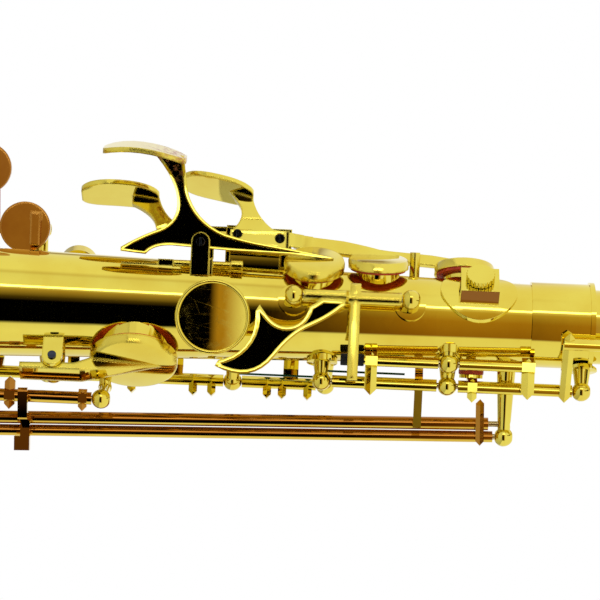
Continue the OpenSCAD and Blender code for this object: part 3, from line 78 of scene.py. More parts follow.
def makeCamera():
    s = cameraSet
    data = bpy.data.cameras.new("photoCamera")
    cam = bpy.data.objects.new("photoCamera", data)
    scene.collection.objects.link(cam)
    back = Vector((0, -1, 0))
    up = Vector((-math.cos(s["roll"]), 0, -math.sin(s["roll"])))
    right = up.cross(back)
    turn = Matrix((right, up, back)).transposed().to_4x4()
    cam.matrix_world = Matrix.Translation(spot(s["lookX"], s["axisY"] - s["away"], s["lookZ"])) @ turn
    data.sensor_fit = "HORIZONTAL"
    data.sensor_width = s["sensor"]
    data.lens = s["sensor"] * s["away"] / s["frameWide"]
    data.clip_start = s["near"]
    data.clip_end = s["far"]
    scene.camera = cam


makeCamera()
print("camera set")


# material helpers
def newMaterial(name):
    mat = bpy.data.materials.new(name)
    mat.use_nodes = True
    tree = mat.node_tree
    return mat, tree, tree.nodes["Principled BSDF"]


def objectCoords(tree):
    return tree.nodes.new("ShaderNodeTexCoord").outputs["Object"]


def noiseNode(tree, coords, scale, detail=3.0, rough=0.5, stretch=(1, 1, 1), place=(0, 0, 0)):
    mapping = tree.nodes.new("ShaderNodeMapping")
    mapping.inputs["Scale"].default_value = stretch
    mapping.inputs["Location"].default_value = place
    noise = tree.nodes.new("ShaderNodeTexNoise")
    noise.inputs["Scale"].default_value = scale
    noise.inputs["Detail"].default_value = detail
    noise.inputs["Roughness"].default_value = rough
    tree.links.new(coords, mapping.inputs["Vector"])
    tree.links.new(mapping.outputs["Vector"], noise.inputs["Vector"])
    return noise.outputs["Fac"]


def rampNode(tree, value, stops):
    ramp = tree.nodes.new("ShaderNodeValToRGB")
    tree.links.new(value, ramp.inputs["Fac"])
    elements = ramp.color_ramp.elements
    for i, (at, colour) in enumerate(stops):
        e = elements[i] if i < 2 else elements.new(at)
        e.position = at
        e.color = (*colour, 1)
    return ramp.outputs["Color"]


def rangeNode(tree, value, low, high, toLow, toHigh):
    node = tree.nodes.new("ShaderNodeMapRange")
    node.inputs["From Min"].default_value = low
    node.inputs["From Max"].default_value = high
    node.inputs["To Min"].default_value = toLow
    node.inputs["To Max"].default_value = toHigh
    tree.links.new(value, node.inputs["Value"])
    return node.outputs["Result"]


def mathNode(tree, kind, a, b):
    node = tree.nodes.new("ShaderNodeMath")
    node.operation = kind
    for socket, value in zip(node.inputs, (a, b)):
        if isinstance(value, (int, float)):
            socket.default_value = value
        else:
            tree.links.new(value, socket)
    return node.outputs[0]


def mixColour(tree, fac, a, b):
    node = tree.nodes.new("ShaderNodeMix")
    node.data_type = "RGBA"
    tree.links.new(fac, node.inputs["Factor"])
    for socket, value in zip((node.inputs[6], node.inputs[7]), (a, b)):
        if isinstance(value, tuple):
            socket.default_value = (*value, 1)
        else:
            tree.links.new(value, socket)
    return node.outputs[2]


def bumpNode(tree, shader, height, strength, distance, normal=None):
    bump = tree.nodes.new("ShaderNodeBump")
    bump.inputs["Strength"].default_value = strength
    bump.inputs["Distance"].default_value = distance
    tree.links.new(height, bump.inputs["Height"])
    if normal is not None:
        tree.links.new(normal, bump.inputs["Normal"])
    tree.links.new(bump.outputs["Normal"], shader.inputs["Normal"])
    return bump


def edgeNode(tree, radius, samples=4):
    # rounds the look of sharp edges
    bevel = tree.nodes.new("ShaderNodeBevel")
    bevel.samples = samples
    bevel.inputs["Radius"].default_value = radius
    return bevel.outputs["Normal"]


# lacquered brass: patina, fine polishing marks, soft edges
brassSet = {"gold": (0.80, 0.665, 0.10), "deep": (0.75, 0.575, 0.072), "smooth": 0.02, "worn": 0.07,
            "patinaScale": 38, "patinaFrom": 0.32, "patinaTo": 0.60, "streakScale": 420,
            "streakSpan": (0.35, 0.8), "waveScale": 150, "waveStrength": 0.015, "waveDeep": 0.0004}
wearSet = {"scale": 420, "from": 0.46, "to": 0.58, "rough": 0.22}
scratchSet = {"flatten": 0.12, "thin": 0.006, "rough": 0.12, "deep": 0.15, "smudgeScale": 130,
              "smudgeSpan": (0.5, 0.72), "smudge": 0.22}
fadeSet = {"crown": 0.001, "height": 0.0002, "facing": 0.03}


def crownHeight(tree, coords, crown):
    # height of a softly buffed face: a slope across the tube, and a curve along it
    axes = tree.nodes.new("ShaderNodeSeparateXYZ")
    tree.links.new(coords, axes.inputs["Vector"])
    across = axes.outputs["X"]
    if "below" in crown:
        across = mathNode(tree, "MAXIMUM", across, -crown["below"])
    height = mathNode(tree, "MULTIPLY", across, crown.get("lean", 0.0))
    if "from" in crown:
        start = crown["from"]
        fade = rangeNode(tree, axes.outputs["Z"], start, start + fadeSet["crown"], 0, 1)
        height = mathNode(tree, "MULTIPLY", height, fade)
    if "curve" in crown:
        along = mathNode(tree, "SUBTRACT", axes.outputs["Z"], crown["middle"])
        squared = mathNode(tree, "MULTIPLY", along, along)
        fall = mathNode(tree, "MULTIPLY", squared, crown["curve"] / 2)
        height = mathNode(tree, "SUBTRACT", height, fall)
    return height


def vectorNode(tree, kind, a, b=None):
    node = tree.nodes.new("ShaderNodeVectorMath")
    node.operation = kind
    for socket, value in zip(node.inputs, (a, b)):
        if isinstance(value, tuple):
            socket.default_value = value
        elif value is not None:
            tree.links.new(value, socket)
    return node


def fromAxis(tree, coords):
    # from the tube's axis straight out to the point, and how far that is
    offset = vectorNode(tree, "SUBTRACT", coords, tuple(spot(0, 0, 0))).outputs["Vector"]
    flat = vectorNode(tree, "MULTIPLY", offset, (1, 1, 0)).outputs["Vector"]
    return flat, vectorNode(tree, "LENGTH", flat).outputs["Value"]


def latheNormal(tree, coords, lathe):
    # true normals of the drawn tube for faces that lie on it or close above it
    flat, reach = fromAxis(tree, coords)
    out = vectorNode(tree, "NORMALIZE", flat).outputs["Vector"]
    tilted = vectorNode(tree, "ADD", out, (0, 0, tubeFrame["slope"])).outputs["Vector"]
    geometry = tree.nodes.new("ShaderNodeNewGeometry")
    agree = vectorNode(tree, "DOT_PRODUCT", geometry.outputs["True Normal"], out).outputs["Value"]
    axes = tree.nodes.new("ShaderNodeSeparateXYZ")
    tree.links.new(coords, axes.inputs["Vector"])
    low = tubeFrame["low"]
    tubeSide = rangeNode(tree, axes.outputs["Z"], spot(0, 0, low).z, spot(0, 0, 0).z,
                         tubeRadius(low) / 1000, tubeRadius(0) / 1000)
    above = mathNode(tree, "SUBTRACT", reach, tubeSide)
    close = rangeNode(tree, above, lathe["above"], lathe["above"] + fadeSet["height"], 1, 0)
    facing = rangeNode(tree, agree, lathe["agree"], lathe["agree"] + fadeSet["facing"], 0, 1)
    chosen = tree.nodes.new("ShaderNodeMix")
    chosen.data_type = "VECTOR"
    tree.links.new(mathNode(tree, "MULTIPLY", close, facing), chosen.inputs["Factor"])
    tree.links.new(geometry.outputs["Normal"], chosen.inputs[4])
    tree.links.new(tilted, chosen.inputs[5])
    return vectorNode(tree, "NORMALIZE", chosen.outputs[1]).outputs["Vector"]


def lacquerBrass(name, streak=(1, 1, 1), edge=None, wear=None, scratch=None, crown=None, tone=None,
                 lathe=None, shaded=None):
    s = {**brassSet, **(tone or {})}
    mat, tree, shader = newMaterial(name)
    coords = objectCoords(tree)
    patina = noiseNode(tree, coords, s["patinaScale"], 4, 0.55)
    colour = rampNode(tree, patina, [(s["patinaFrom"], s["deep"]), (s["patinaTo"], s["gold"])])
    shader.inputs["Metallic"].default_value = 1
    fine = noiseNode(tree, coords, s["streakScale"], 3, 0.6, streak)
    rough = rangeNode(tree, fine, *s["streakSpan"], s["smooth"], s["worn"])
    height = noiseNode(tree, coords, s["waveScale"], 2, 0.4)
    if wear is not None:
        # worn lacquer: a patch of bare reddish metal round a point
        gap = vectorNode(tree, "DISTANCE", coords, tuple(wear["at"])).outputs["Value"]
        near = rangeNode(tree, gap, wear["far"], wear["near"], 0, 1)
        blotch = noiseNode(tree, coords, wearSet["scale"], 5, 0.65)
        spots = rampNode(tree, blotch, [(wearSet["from"], (0, 0, 0)), (wearSet["to"], (1, 1, 1))])
        amount = mathNode(tree, "MULTIPLY", near, spots)
        colour = mixColour(tree, amount, colour, wear["colour"])
        rough = mathNode(tree, "ADD", rough, mathNode(tree, "MULTIPLY", amount, wearSet["rough"]))
    if shaded is not None:
        # painted shade and reflection: a browner colour where the faces look one way, set by face direction
        # and not by light
        geometry = tree.nodes.new("ShaderNodeNewGeometry")
        turned = vectorNode(tree, "DOT_PRODUCT", geometry.outputs["Normal"], shaded["facing"]).outputs["Value"]
        start = shaded["beyond"]
        beyond = rangeNode(tree, fromAxis(tree, coords)[1], start, start + fadeSet["height"], 0, 1)
        amount = mathNode(tree, "MULTIPLY", beyond, rangeNode(tree, turned, *shaded["turn"], 0, 1))
        colour = mixColour(tree, amount, colour, shaded["colour"])
    if scratch is not None:
        # thin hair marks in two directions, and smudges between them
        marks = None
        for turn, size in scratch:
            mapping = tree.nodes.new("ShaderNodeMapping")
            mapping.inputs["Rotation"].default_value = turn
            mapping.inputs["Scale"].default_value = (size, size, size * scratchSet["flatten"])
            tree.links.new(coords, mapping.inputs["Vector"])
            lines = tree.nodes.new("ShaderNodeTexVoronoi")
            lines.feature = "DISTANCE_TO_EDGE"
            lines.inputs["Scale"].default_value = 1
            tree.links.new(mapping.outputs["Vector"], lines.inputs["Vector"])
            thin = rangeNode(tree, lines.outputs["Distance"], 0.0, scratchSet["thin"], 1, 0)
            marks = thin if marks is None else mathNode(tree, "MAXIMUM", marks, thin)
        hazy = noiseNode(tree, coords, scratchSet["smudgeScale"], 5, 0.7)
        smudge = rangeNode(tree, hazy, *scratchSet["smudgeSpan"], 0, scratchSet["smudge"])
        rough = mathNode(tree, "ADD", rough, smudge)
        rough = mathNode(tree, "ADD", rough, mathNode(tree, "MULTIPLY", marks, scratchSet["rough"]))
        height = mathNode(tree, "SUBTRACT", height, mathNode(tree, "MULTIPLY", marks, scratchSet["deep"]))
    tree.links.new(colour, shader.inputs["Base Color"])
    tree.links.new(rough, shader.inputs["Roughness"])
    normal = edgeNode(tree, edge) if edge else None
    if lathe is not None:
        normal = latheNormal(tree, coords, lathe)
    if crown is not None:
        normal = bumpNode(tree, shader, crownHeight(tree, coords, crown), 1, 1, normal).outputs["Normal"]
    bumpNode(tree, shader, height, s["waveStrength"], s["waveDeep"], normal)
    return mat


brass = lacquerBrass("lacqueredBrass")
drawnStreak = (0.05, 0.05, 6.0)
tubeBrass = lacquerBrass("polishedTubeBrass", streak=drawnStreak)
bodyBrass = lacquerBrass("drawnTubeBrass", streak=drawnStreak, lathe={"above": 0.0006, "agree": 0.55})
postBrass = lacquerBrass("postBrass", lathe={"above": 0.0026, "agree": 0.84})
plateBrass = lacquerBrass("forgedKeyBrass", edge=0.0018)
leverCrown = {"lean": 0.34, "from": spot(0, 0, -78.3).z}
leverBrass = lacquerBrass("octaveLeverBrass", edge=0.0018, crown=leverCrown)
ebBrass = lacquerBrass("palmEbBrass", edge=0.0012, crown={"lean": 0.42, "below": 0.0395})
fBrass = lacquerBrass("palmFBrass", edge=0.0012, crown={"lean": 0.42, "below": 0.034})
barBrass = lacquerBrass("filedBarBrass", crown={"lean": 0.32})
# painted reflection: the long rods get a browner copy of the brass, and a browner colour still on their upper,
# front faces, in place of the brass they mirror
rodPaintedReflectionTone = {"gold": (0.74, 0.54, 0.08), "deep": (0.66, 0.42, 0.05)}
rodShade = {"facing": (-0.6, -0.8, 0.0), "turn": (0.25, 0.75), "beyond": 0.0,
            "colour": (0.40, 0.16, 0.022)}
rodBrass = lacquerBrass("longRodBrass", crown={"lean": 0.2}, tone=rodPaintedReflectionTone, shaded=rodShade)
# a browner, darker copy of the brass for the front F key
brownTone = {"gold": (0.55, 0.27, 0.05), "deep": (0.42, 0.17, 0.03)}
brownBrass = lacquerBrass("brownerTouchBrass", edge=0.0012, crown={"lean": 0.25}, tone=brownTone)
bracketBrass = lacquerBrass("bracketBrass", edge=0.0008)
print("brass made")


# the rest of the finishes
steelSet = {"grain": 900, "stretch": (1, 1, 0.2), "dull": 0.7, "span": (0.3, 0.8), "edge": 0.0002,
            "bump": 0.05, "deep": 0.0001}
leatherSet = {"blotch": 240, "cell": 0.9, "rough": (0.42, 0.6), "shine": 0.4, "bump": 0.25, "deep": 0.00012}
feltSet = {"fibre": 2600, "stretch": (1, 0.35, 1), "rough": 0.95, "sheenRough": 0.5, "bump": 0.6,
           "deep": 0.0004}


def steelFinish(name, colour, smooth, worn):
    s = steelSet
    mat, tree, shader = newMaterial(name)
    coords = objectCoords(tree)
    fine = noiseNode(tree, coords, s["grain"], 3, 0.6, s["stretch"])
    dull = tuple(c * s["dull"] for c in colour)
    tree.links.new(rampNode(tree, fine, [(0.35, dull), (0.65, colour)]), shader.inputs["Base Color"])
    tree.links.new(rangeNode(tree, fine, *s["span"], smooth, worn), shader.inputs["Roughness"])
    shader.inputs["Metallic"].default_value = 1
    bumpNode(tree, shader, fine, s["bump"], s["deep"], edgeNode(tree, s["edge"]))
    return mat


def leatherFinish(name, light, dark, grain):
    s = leatherSet
    mat, tree, shader = newMaterial(name)
    coords = objectCoords(tree)
    cells = tree.nodes.new("ShaderNodeTexVoronoi")
    cells.inputs["Scale"].default_value = grain
    tree.links.new(coords, cells.inputs["Vector"])
    blotch = noiseNode(tree, coords, s["blotch"], 4, 0.6)
    tree.links.new(rampNode(tree, blotch, [(0.35, dark), (0.65, light)]), shader.inputs["Base Color"])
    rough = rangeNode(tree, cells.outputs["Distance"], 0, s["cell"], *s["rough"])
    tree.links.new(rough, shader.inputs["Roughness"])
    shader.inputs["Specular IOR Level"].default_value = s["shine"]
    bumpNode(tree, shader, cells.outputs["Distance"], s["bump"], s["deep"])
    return mat


def feltFinish(name, light, dark, sheen):
    s = feltSet
    mat, tree, shader = newMaterial(name)
    coords = objectCoords(tree)
    fibre = noiseNode(tree, coords, s["fibre"], 6, 0.75, s["stretch"])
    tree.links.new(rampNode(tree, fibre, [(0.3, dark), (0.7, light)]), shader.inputs["Base Color"])
    shader.inputs["Roughness"].default_value = s["rough"]
    shader.inputs["Sheen Weight"].default_value = sheen
    shader.inputs["Sheen Roughness"].default_value = s["sheenRough"]
    bumpNode(tree, shader, fibre, s["bump"], s["deep"])
    return mat


corkSet = {"poreScale": 520, "grainScale": 330, "rough": 0.8, "bump": 0.4, "deep": 0.0004,
           "tan": [(0.3, (0.33, 0.18, 0.08)), (0.5, (0.56, 0.35, 0.17)), (0.75, (0.66, 0.45, 0.25))],
           "pores": [(0.06, (1, 1, 1)), (0.2, (0, 0, 0))], "poreColour": (0.16, 0.08, 0.035)}


def corkFinish():
    s = corkSet
    mat, tree, shader = newMaterial("neckCork")
    coords = objectCoords(tree)
    pores = tree.nodes.new("ShaderNodeTexVoronoi")
    pores.inputs["Scale"].default_value = s["poreScale"]
    tree.links.new(coords, pores.inputs["Vector"])
    tan = rampNode(tree, noiseNode(tree, coords, s["grainScale"], 6, 0.7, (1, 1, 0.5)), s["tan"])
    dark = rampNode(tree, pores.outputs["Distance"], s["pores"])
    tree.links.new(mixColour(tree, dark, tan, s["poreColour"]), shader.inputs["Base Color"])
    shader.inputs["Roughness"].default_value = s["rough"]
    bumpNode(tree, shader, pores.outputs["Distance"], s["bump"], s["deep"])
    return mat


eboniteSet = {"haze": 120, "tone": [(0.35, (0.008, 0.008, 0.008)), (0.7, (0.02, 0.019, 0.017))],
              "span": (0.3, 0.8), "rough": (0.12, 0.3), "grain": 900, "bump": 0.03, "deep": 0.0002,
              "edge": 0.0005}


def ebonite():
    s = eboniteSet
    mat, tree, shader = newMaterial("ebonite")
    coords = objectCoords(tree)
    haze = noiseNode(tree, coords, s["haze"], 4, 0.6)
    tree.links.new(rampNode(tree, haze, s["tone"]), shader.inputs["Base Color"])
    tree.links.new(rangeNode(tree, haze, *s["span"], *s["rough"]), shader.inputs["Roughness"])
    grain = noiseNode(tree, coords, s["grain"], 2, 0.5)
    bumpNode(tree, shader, grain, s["bump"], s["deep"], edgeNode(tree, s["edge"]))
    return mat


caneSet = {"fibre": 900, "stretch": (1, 0.05, 0.4), "rough": 0.55, "bump": 0.2, "deep": 0.0002,
           "tone": [(0.3, (0.55, 0.38, 0.17)), (0.7, (0.78, 0.62, 0.34))]}


def cane():
    s = caneSet
    mat, tree, shader = newMaterial("reedCane")
    coords = objectCoords(tree)
    fibre = noiseNode(tree, coords, s["fibre"], 4, 0.6, s["stretch"])
    tree.links.new(rampNode(tree, fibre, s["tone"]), shader.inputs["Base Color"])
    shader.inputs["Roughness"].default_value = s["rough"]
    bumpNode(tree, shader, fibre, s["bump"], s["deep"])
    return mat


shellSet = {"waves": 130, "stretch": (1, 1, 0.45), "rough": 0.16, "coat": 0.5, "coatRough": 0.08,
            "bump": 0.08, "deep": 0.0004,
            "tint": [(0.3, (0.60, 0.68, 0.60)), (0.5, (0.84, 0.86, 0.78)), (0.7, (0.86, 0.74, 0.74))]}


def motherOfPearl():
    s = shellSet
    mat, tree, shader = newMaterial("motherOfPearl")
    coords = objectCoords(tree)
    waves = noiseNode(tree, coords, s["waves"], 5, 0.6, s["stretch"])
    tree.links.new(rampNode(tree, waves, s["tint"]), shader.inputs["Base Color"])
    shader.inputs["Roughness"].default_value = s["rough"]
    shader.inputs["Coat Weight"].default_value = s["coat"]
    shader.inputs["Coat Roughness"].default_value = s["coatRough"]
    bumpNode(tree, shader, waves, s["bump"], s["deep"])
    return mat


steel = steelFinish("hingeSteel", (0.58, 0.46, 0.22), 0.16, 0.3)
screwSteel = steelFinish("darkScrewSteel", (0.055, 0.065, 0.085), 0.12, 0.26)
bluedSteel = steelFinish("bluedSpringSteel", (0.02, 0.10, 0.085), 0.2, 0.35)
padRed = leatherFinish("padLeather", (0.62, 0.075, 0.022), (0.40, 0.03, 0.012), 1500)
blackFelt = feltFinish("blackFelt", (0.007, 0.007, 0.008), (0.002, 0.002, 0.002), 0.05)
greenFelt = feltFinish("greenFelt", (0.035, 0.10, 0.05), (0.015, 0.05, 0.025), 0.35)
cork = corkFinish()
blackRubber = ebonite()
reedCane = cane()
pearlShell = motherOfPearl()
print("finishes made")

# carried-over CAD nodes: weld the loose triangles, split at real edges, smooth between them
nodeSet = {"weld": 0.000002, "split": 32}
finishOf = {"body_tube": bodyBrass, "ball_posts": postBrass, "collar": tubeBrass, "upper_bow": tubeBrass,
            "bell": tubeBrass, "bottom_bow": tubeBrass, "neck": tubeBrass, "hinge_rods": steel,
            "pivot_screws": screwSteel, "needle_springs": bluedSteel, "mouthpiece": blackRubber,
            "reed": reedCane, "palm_eb_key": ebBrass, "palm_f_key": fBrass, "key_brackets": bracketBrass,
            "octave_thumb_lever": leverBrass, "side_c_key": plateBrass, "front_f_key": brownBrass,
            "octave_link": barBrass, "octave_rocker": barBrass, "octave_vent_key": barBrass,
            "side_key_transfer": barBrass, "side_c_lever": rodBrass, "side_bb_lever": rodBrass,
            "side_trill_lever": rodBrass}
for name, obj in nodes.items():
    obj.data.polygons.foreach_set("use_smooth", [True] * len(obj.data.polygons))
    weld = obj.modifiers.new("weld", "WELD")
    weld.merge_threshold = nodeSet["weld"]
    split = obj.modifiers.new("split", "EDGE_SPLIT")
    split.split_angle = math.radians(nodeSet["split"])
    # new normals for the welded mesh
    level = obj.modifiers.new("level", "WEIGHTED_NORMAL")
    level.mode = "CORNER_ANGLE"
    obj.data.materials.clear()
    obj.data.materials.append(finishOf.get(name, brass))

wornTouch = {"at": spot(-64, -10, -152), "near": 0.006, "far": 0.017, "colour": (0.50, 0.20, 0.10)}
nodes["palm_d_key"].data.materials[0] = lacquerBrass("wornPalmBrass", edge=0.0022, wear=wornTouch)
thumbMarks = [((0.0, 0.7, 0.0), 170.0), ((0.0, 2.3, 0.0), 120.0)]
thumbCrown = {"curve": 8.0, "middle": spot(0, 0, -139).z, "lean": 0.05}
thumbBrass = lacquerBrass("scratchedThumbBrass", scratch=thumbMarks, crown=thumbCrown)
nodes["thumb_rest"].data.materials[0] = thumbBrass
# painted shade: the front face of the lyre block is browner than the rest of it, by the direction it faces
blockPaintedShade = {"facing": (0.695, -0.719, 0.0), "turn": (0.86, 0.92), "beyond": 0.0194,
              "colour": (0.26, 0.105, 0.02)}
nodes["lyre_holder"].data.materials[0] = lacquerBrass("lyreBlockBrass", edge=0.0004, shaded=blockPaintedShade)
print("nodes dressed")

bodyOf = {n: b for b, names in frame["record"]["behaviour"]["bodies"].items() for n in names}


# modelling helpers
def deselectAll():
    if bpy.context.mode != "OBJECT":
        bpy.ops.object.mode_set(mode="OBJECT")
    bpy.ops.object.select_all(action="DESELECT")


def makeActive(obj):
    deselectAll()
    obj.select_set(True)
    bpy.context.view_layer.objects.active = obj


def editMode(obj, kind="FACE"):
    makeActive(obj)
    bpy.ops.object.mode_set(mode="EDIT")
    bpy.ops.mesh.select_mode(type=kind)
    bpy.ops.mesh.select_all(action="DESELECT")


def pick(obj, test):
    # selects the faces that pass a test of centre and normal
    bm = bmesh.from_edit_mesh(obj.data)
    for f in bm.faces:
        f.select_set(test(f.calc_center_median(), f.normal))
    bmesh.update_edit_mesh(obj.data)


def added(name):
    obj = bpy.context.active_object
    obj.name = name
    obj.data.name = name
    return obj


def copyNode(nodeName, name):
    obj = bpy.data.objects.new(name, nodes[nodeName].data.copy())
    scene.collection.objects.link(obj)
    obj.data.materials.clear()
    editMode(obj)
    bpy.ops.mesh.select_all(action="SELECT")
    bpy.ops.mesh.remove_doubles(threshold=nodeSet["weld"])
    bpy.ops.mesh.customdata_custom_splitnormals_clear()
    bpy.ops.object.mode_set(mode="OBJECT")
    return obj


def looseParts(obj):
    editMode(obj)
    bpy.ops.mesh.select_all(action="SELECT")
    bpy.ops.mesh.separate(type="LOOSE")
    bpy.ops.object.mode_set(mode="OBJECT")
    return list(bpy.context.selected_objects)


def bevelEdges(obj, width, segments=2, angle=40):
    makeActive(obj)
    bevel = obj.modifiers.new("bevel", "BEVEL")
    bevel.width = width
    bevel.segments = segments
    bevel.limit_method = "ANGLE"
    bevel.angle_limit = math.radians(angle)
    bpy.ops.object.modifier_apply(modifier=bevel.name)


def standAt(obj, place, out):
    # local Z to the outward direction, then the place goes into the mesh
    obj.matrix_world = Matrix.Translation(place) @ out.to_track_quat("Z", "Y").to_matrix().to_4x4()
    makeActive(obj)
    bpy.ops.object.transform_apply(location=True, rotation=True, scale=True)


def finishPiece(obj, material, body, angle=32):
    makeActive(obj)
    bpy.ops.object.shade_smooth_by_angle(angle=math.radians(angle))
    obj.data.materials.clear()
    obj.data.materials.append(material)
    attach(obj, body)
    return obj


def discShape(obj):
    # centre, axis, radius and thickness of a flat round solid
    mesh = obj.data
    axis = max(mesh.polygons, key=lambda p: p.area).normal.copy()
    points = [v.co for v in mesh.vertices]
    centre = sum(points, Vector()) / len(points)
    along = [axis.dot(p - centre) for p in points]
    centre = centre + axis * (max(along) + min(along)) / 2
    reach = max((p - centre - axis * axis.dot(p - centre)).length for p in points)
    return centre, axis, reach, max(along) - min(along)


# key pads: red leather over felt, rounded at the rim, with the ring that the tone hole presses in
padSet = {"sides": 72, "rim": 0.0007, "rimDrop": 0.00010, "seat": 0.0032, "groove": 0.0006,
          "grooveDeep": 0.00014, "crown": 0.00006, "middle": 0.25, "round": 0.0004}
tubeAxis = spot(0, 0, 0)
bellAxis = spot(0, 130, 0)


def makePad(name, shape, body, axisPoint):
    centre, axis, radius, thick = shape
    s = padSet
    toAxis = Vector((axisPoint.x - centre.x, axisPoint.y - centre.y, 0))
    out = axis if axis.dot(toAxis) < 0 else -axis
    deselectAll()
    bpy.ops.mesh.primitive_cylinder_add(vertices=s["sides"], radius=radius, depth=thick)
    obj = added(name)
    editMode(obj)
    pick(obj, lambda c, n: n.z < -0.9)
    bpy.ops.mesh.inset(thickness=s["rim"], depth=s["rimDrop"])
    bpy.ops.mesh.inset(thickness=s["seat"] - s["rim"] - s["groove"], depth=s["crown"])
    bpy.ops.mesh.inset(thickness=s["groove"], depth=-s["grooveDeep"])
    bpy.ops.mesh.inset(thickness=s["groove"], depth=s["grooveDeep"])
    bpy.ops.mesh.inset(thickness=radius * s["middle"], depth=s["crown"])
    bpy.ops.object.mode_set(mode="OBJECT")
    bevelEdges(obj, s["round"], 3, 50)
    standAt(obj, centre, out)
    finishPiece(obj, padRed, body, 50)
    return obj


for key in ("palm_d", "palm_eb", "palm_f", "side_c"):
    loose = copyNode(key + "_pad", key + "Spare")
    shape = discShape(loose)
    bpy.data.objects.remove(loose)
    pad = makePad(key + "_leather", shape, bodyOf[key + "_pad"], tubeAxis)
    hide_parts(key + "_pad")
# the body octave vent: a thin pad held in its cup
ventSet = {"at": (21.25, 3.0, -23.5), "radius": 0.0053, "thick": 0.0021}
ventShape = (spot(*ventSet["at"]), Vector((1, 0, 0)), ventSet["radius"], ventSet["thick"])
makePad("octave_vent_leather", ventShape, bodyOf["octave_vent_key"], tubeAxis)
print("palm, side and vent pads made")

# stack and low keys: the brass and the pad of each node as pieces of their own
stackKeys = ["upper_c_key", "upper_b_key", "upper_a_key", "upper_g_key", "lower_f_key", "lower_e_key",
             "lower_d_key", "g_sharp_key", "low_eb_key", "low_c_key", "low_c_sharp_key", "low_b_key",
             "low_bb_key"]
onBell = ("low_c_sharp_key", "low_b_key", "low_bb_key")
resonatorSet = {"share": 0.42, "sides": 48, "thick": 0.0006, "rise": 0.0007,
                "steps": ((0.25, 0.5), (0.45, 0.3)), "rivet": 0.06, "rivetRise": 0.0005}


def makeResonator(name, padShape, body, axisPoint):
    # domed metal disc with its rivet in the middle of a pad
    centre, axis, radius, thick = padShape
    toAxis = Vector((axisPoint.x - centre.x, axisPoint.y - centre.y, 0))
    inward = axis if axis.dot(toAxis) > 0 else -axis
    s = resonatorSet
    size = radius * s["share"]
    deselectAll()
    bpy.ops.mesh.primitive_cylinder_add(vertices=s["sides"], radius=size, depth=s["thick"])
    obj = added(name)
    editMode(obj)
    pick(obj, lambda c, n: n.z > 0.9)
    for wide, high in s["steps"]:
        bpy.ops.mesh.inset(thickness=size * wide, depth=s["rise"] * high)
    bpy.ops.mesh.inset(thickness=size * s["rivet"], depth=s["rivetRise"])
    bpy.ops.object.mode_set(mode="OBJECT")
    standAt(obj, centre + inward * (thick + s["thick"]) / 2, inward)
    finishPiece(obj, brass, body, 40)
    return obj


for key in stackKeys:
    parts = looseParts(copyNode(key, key + "_brass"))
    parts.sort(key=lambda o: len(o.data.vertices))
    loose, cup = parts[0], parts[-1]
    shape = discShape(loose)
    bpy.data.objects.remove(loose)
    body = bodyOf[key]
    cup.name = key + "_brass"
    finishPiece(cup, barBrass, body)
    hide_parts(key)
    around = bellAxis if key in onBell else tubeAxis
    makePad(key + "_leather", shape, body, around)
    makeResonator(key + "_resonator", shape, body, around)
print("stack and low keys made")

# mother-of-pearl touches
pearlSet = {"radius": 0.0066, "sides": 64, "base": 0.0044, "side": 0.0006, "dome": 0.0009, "round": 0.0004,
            "steps": ((0.12, 0.45), (0.25, 0.35), (0.30, 0.2)), "open": 8.0, "around": 143.0,
            "armRise": 6.0, "beyondRise": 6.7, "beside": 11.0}
pearlArms = {"upper_b_key": ((30, 24), -194), "upper_a_key": ((30, 24), -262), "upper_g_key": ((30, 24), -335)}
pearlBeyond = {"lower_f_key": ((40, 32), -410, 44), "lower_e_key": ((40, 32), -490, 46),
               "lower_d_key": ((40, 32), -570, 48)}


def openTurn(at):
    # the stack keys stand open at rest
    hinge = Matrix.Translation(Vector((at[0], at[1], 0)))
    return hinge @ Matrix.Rotation(math.radians(-pearlSet["open"]), 4, "Z") @ hinge.inverted()


def makePearl(name, at, place, out, body):
    s = pearlSet
    turn = openTurn(at)
    place = turn @ Vector(place)
    out = (turn.to_3x3() @ Vector(out)).normalized()
    deselectAll()
    bpy.ops.mesh.primitive_cylinder_add(vertices=s["sides"], radius=s["radius"], depth=s["side"] * 2)
    obj = added(name)
    editMode(obj)
    pick(obj, lambda c, n: n.z > 0.9)
    for wide, high in s["steps"]:
        bpy.ops.mesh.inset(thickness=s["radius"] * wide, depth=s["dome"] * high)
    bpy.ops.object.mode_set(mode="OBJECT")
    bevelEdges(obj, s["round"], 3, 20)
    standAt(obj, spot(*place) + out * s["side"], out)
    return finishPiece(obj, pearlShell, body, 60)


pearlBase = pearlSet["base"] * 1000
for key, (at, z) in pearlArms.items():
    a = math.radians(pearlSet["around"])
    out = Vector((-math.sin(a), -math.cos(a), 0))
    place = out * (tubeRadius(z) + pearlSet["armRise"] + pearlBase) + Vector((0, 0, z))
    makePearl(key + "_pearl", at, place, out, bodyOf[key])
for key, (at, z, cup) in pearlBeyond.items():
    top = tubeRadius(z) + pearlSet["beyondRise"]
    place = Vector((-(cup / 2 + pearlSet["beside"]), top + pearlBase, z))
    makePearl(key + "_pearl", at, place, Vector((0, 1, 0)), bodyOf[key])
print("pearls made")

# polished borders of the octave thumb lever and the palm D plate
rimShared = {"near": 0.00005, "straight": 2, "sink": 0.0005, "merge": 0.000002}
rimSets = {"octave_thumb_lever": {"front": -29.4, "wide": 0.0017, "high": 0.0008, "round": 0.0006},
           "palm_d_key": {"front": -12.0, "wide": 0.0011, "high": 0.0003, "round": 0.00025, "top": 0.0612}}


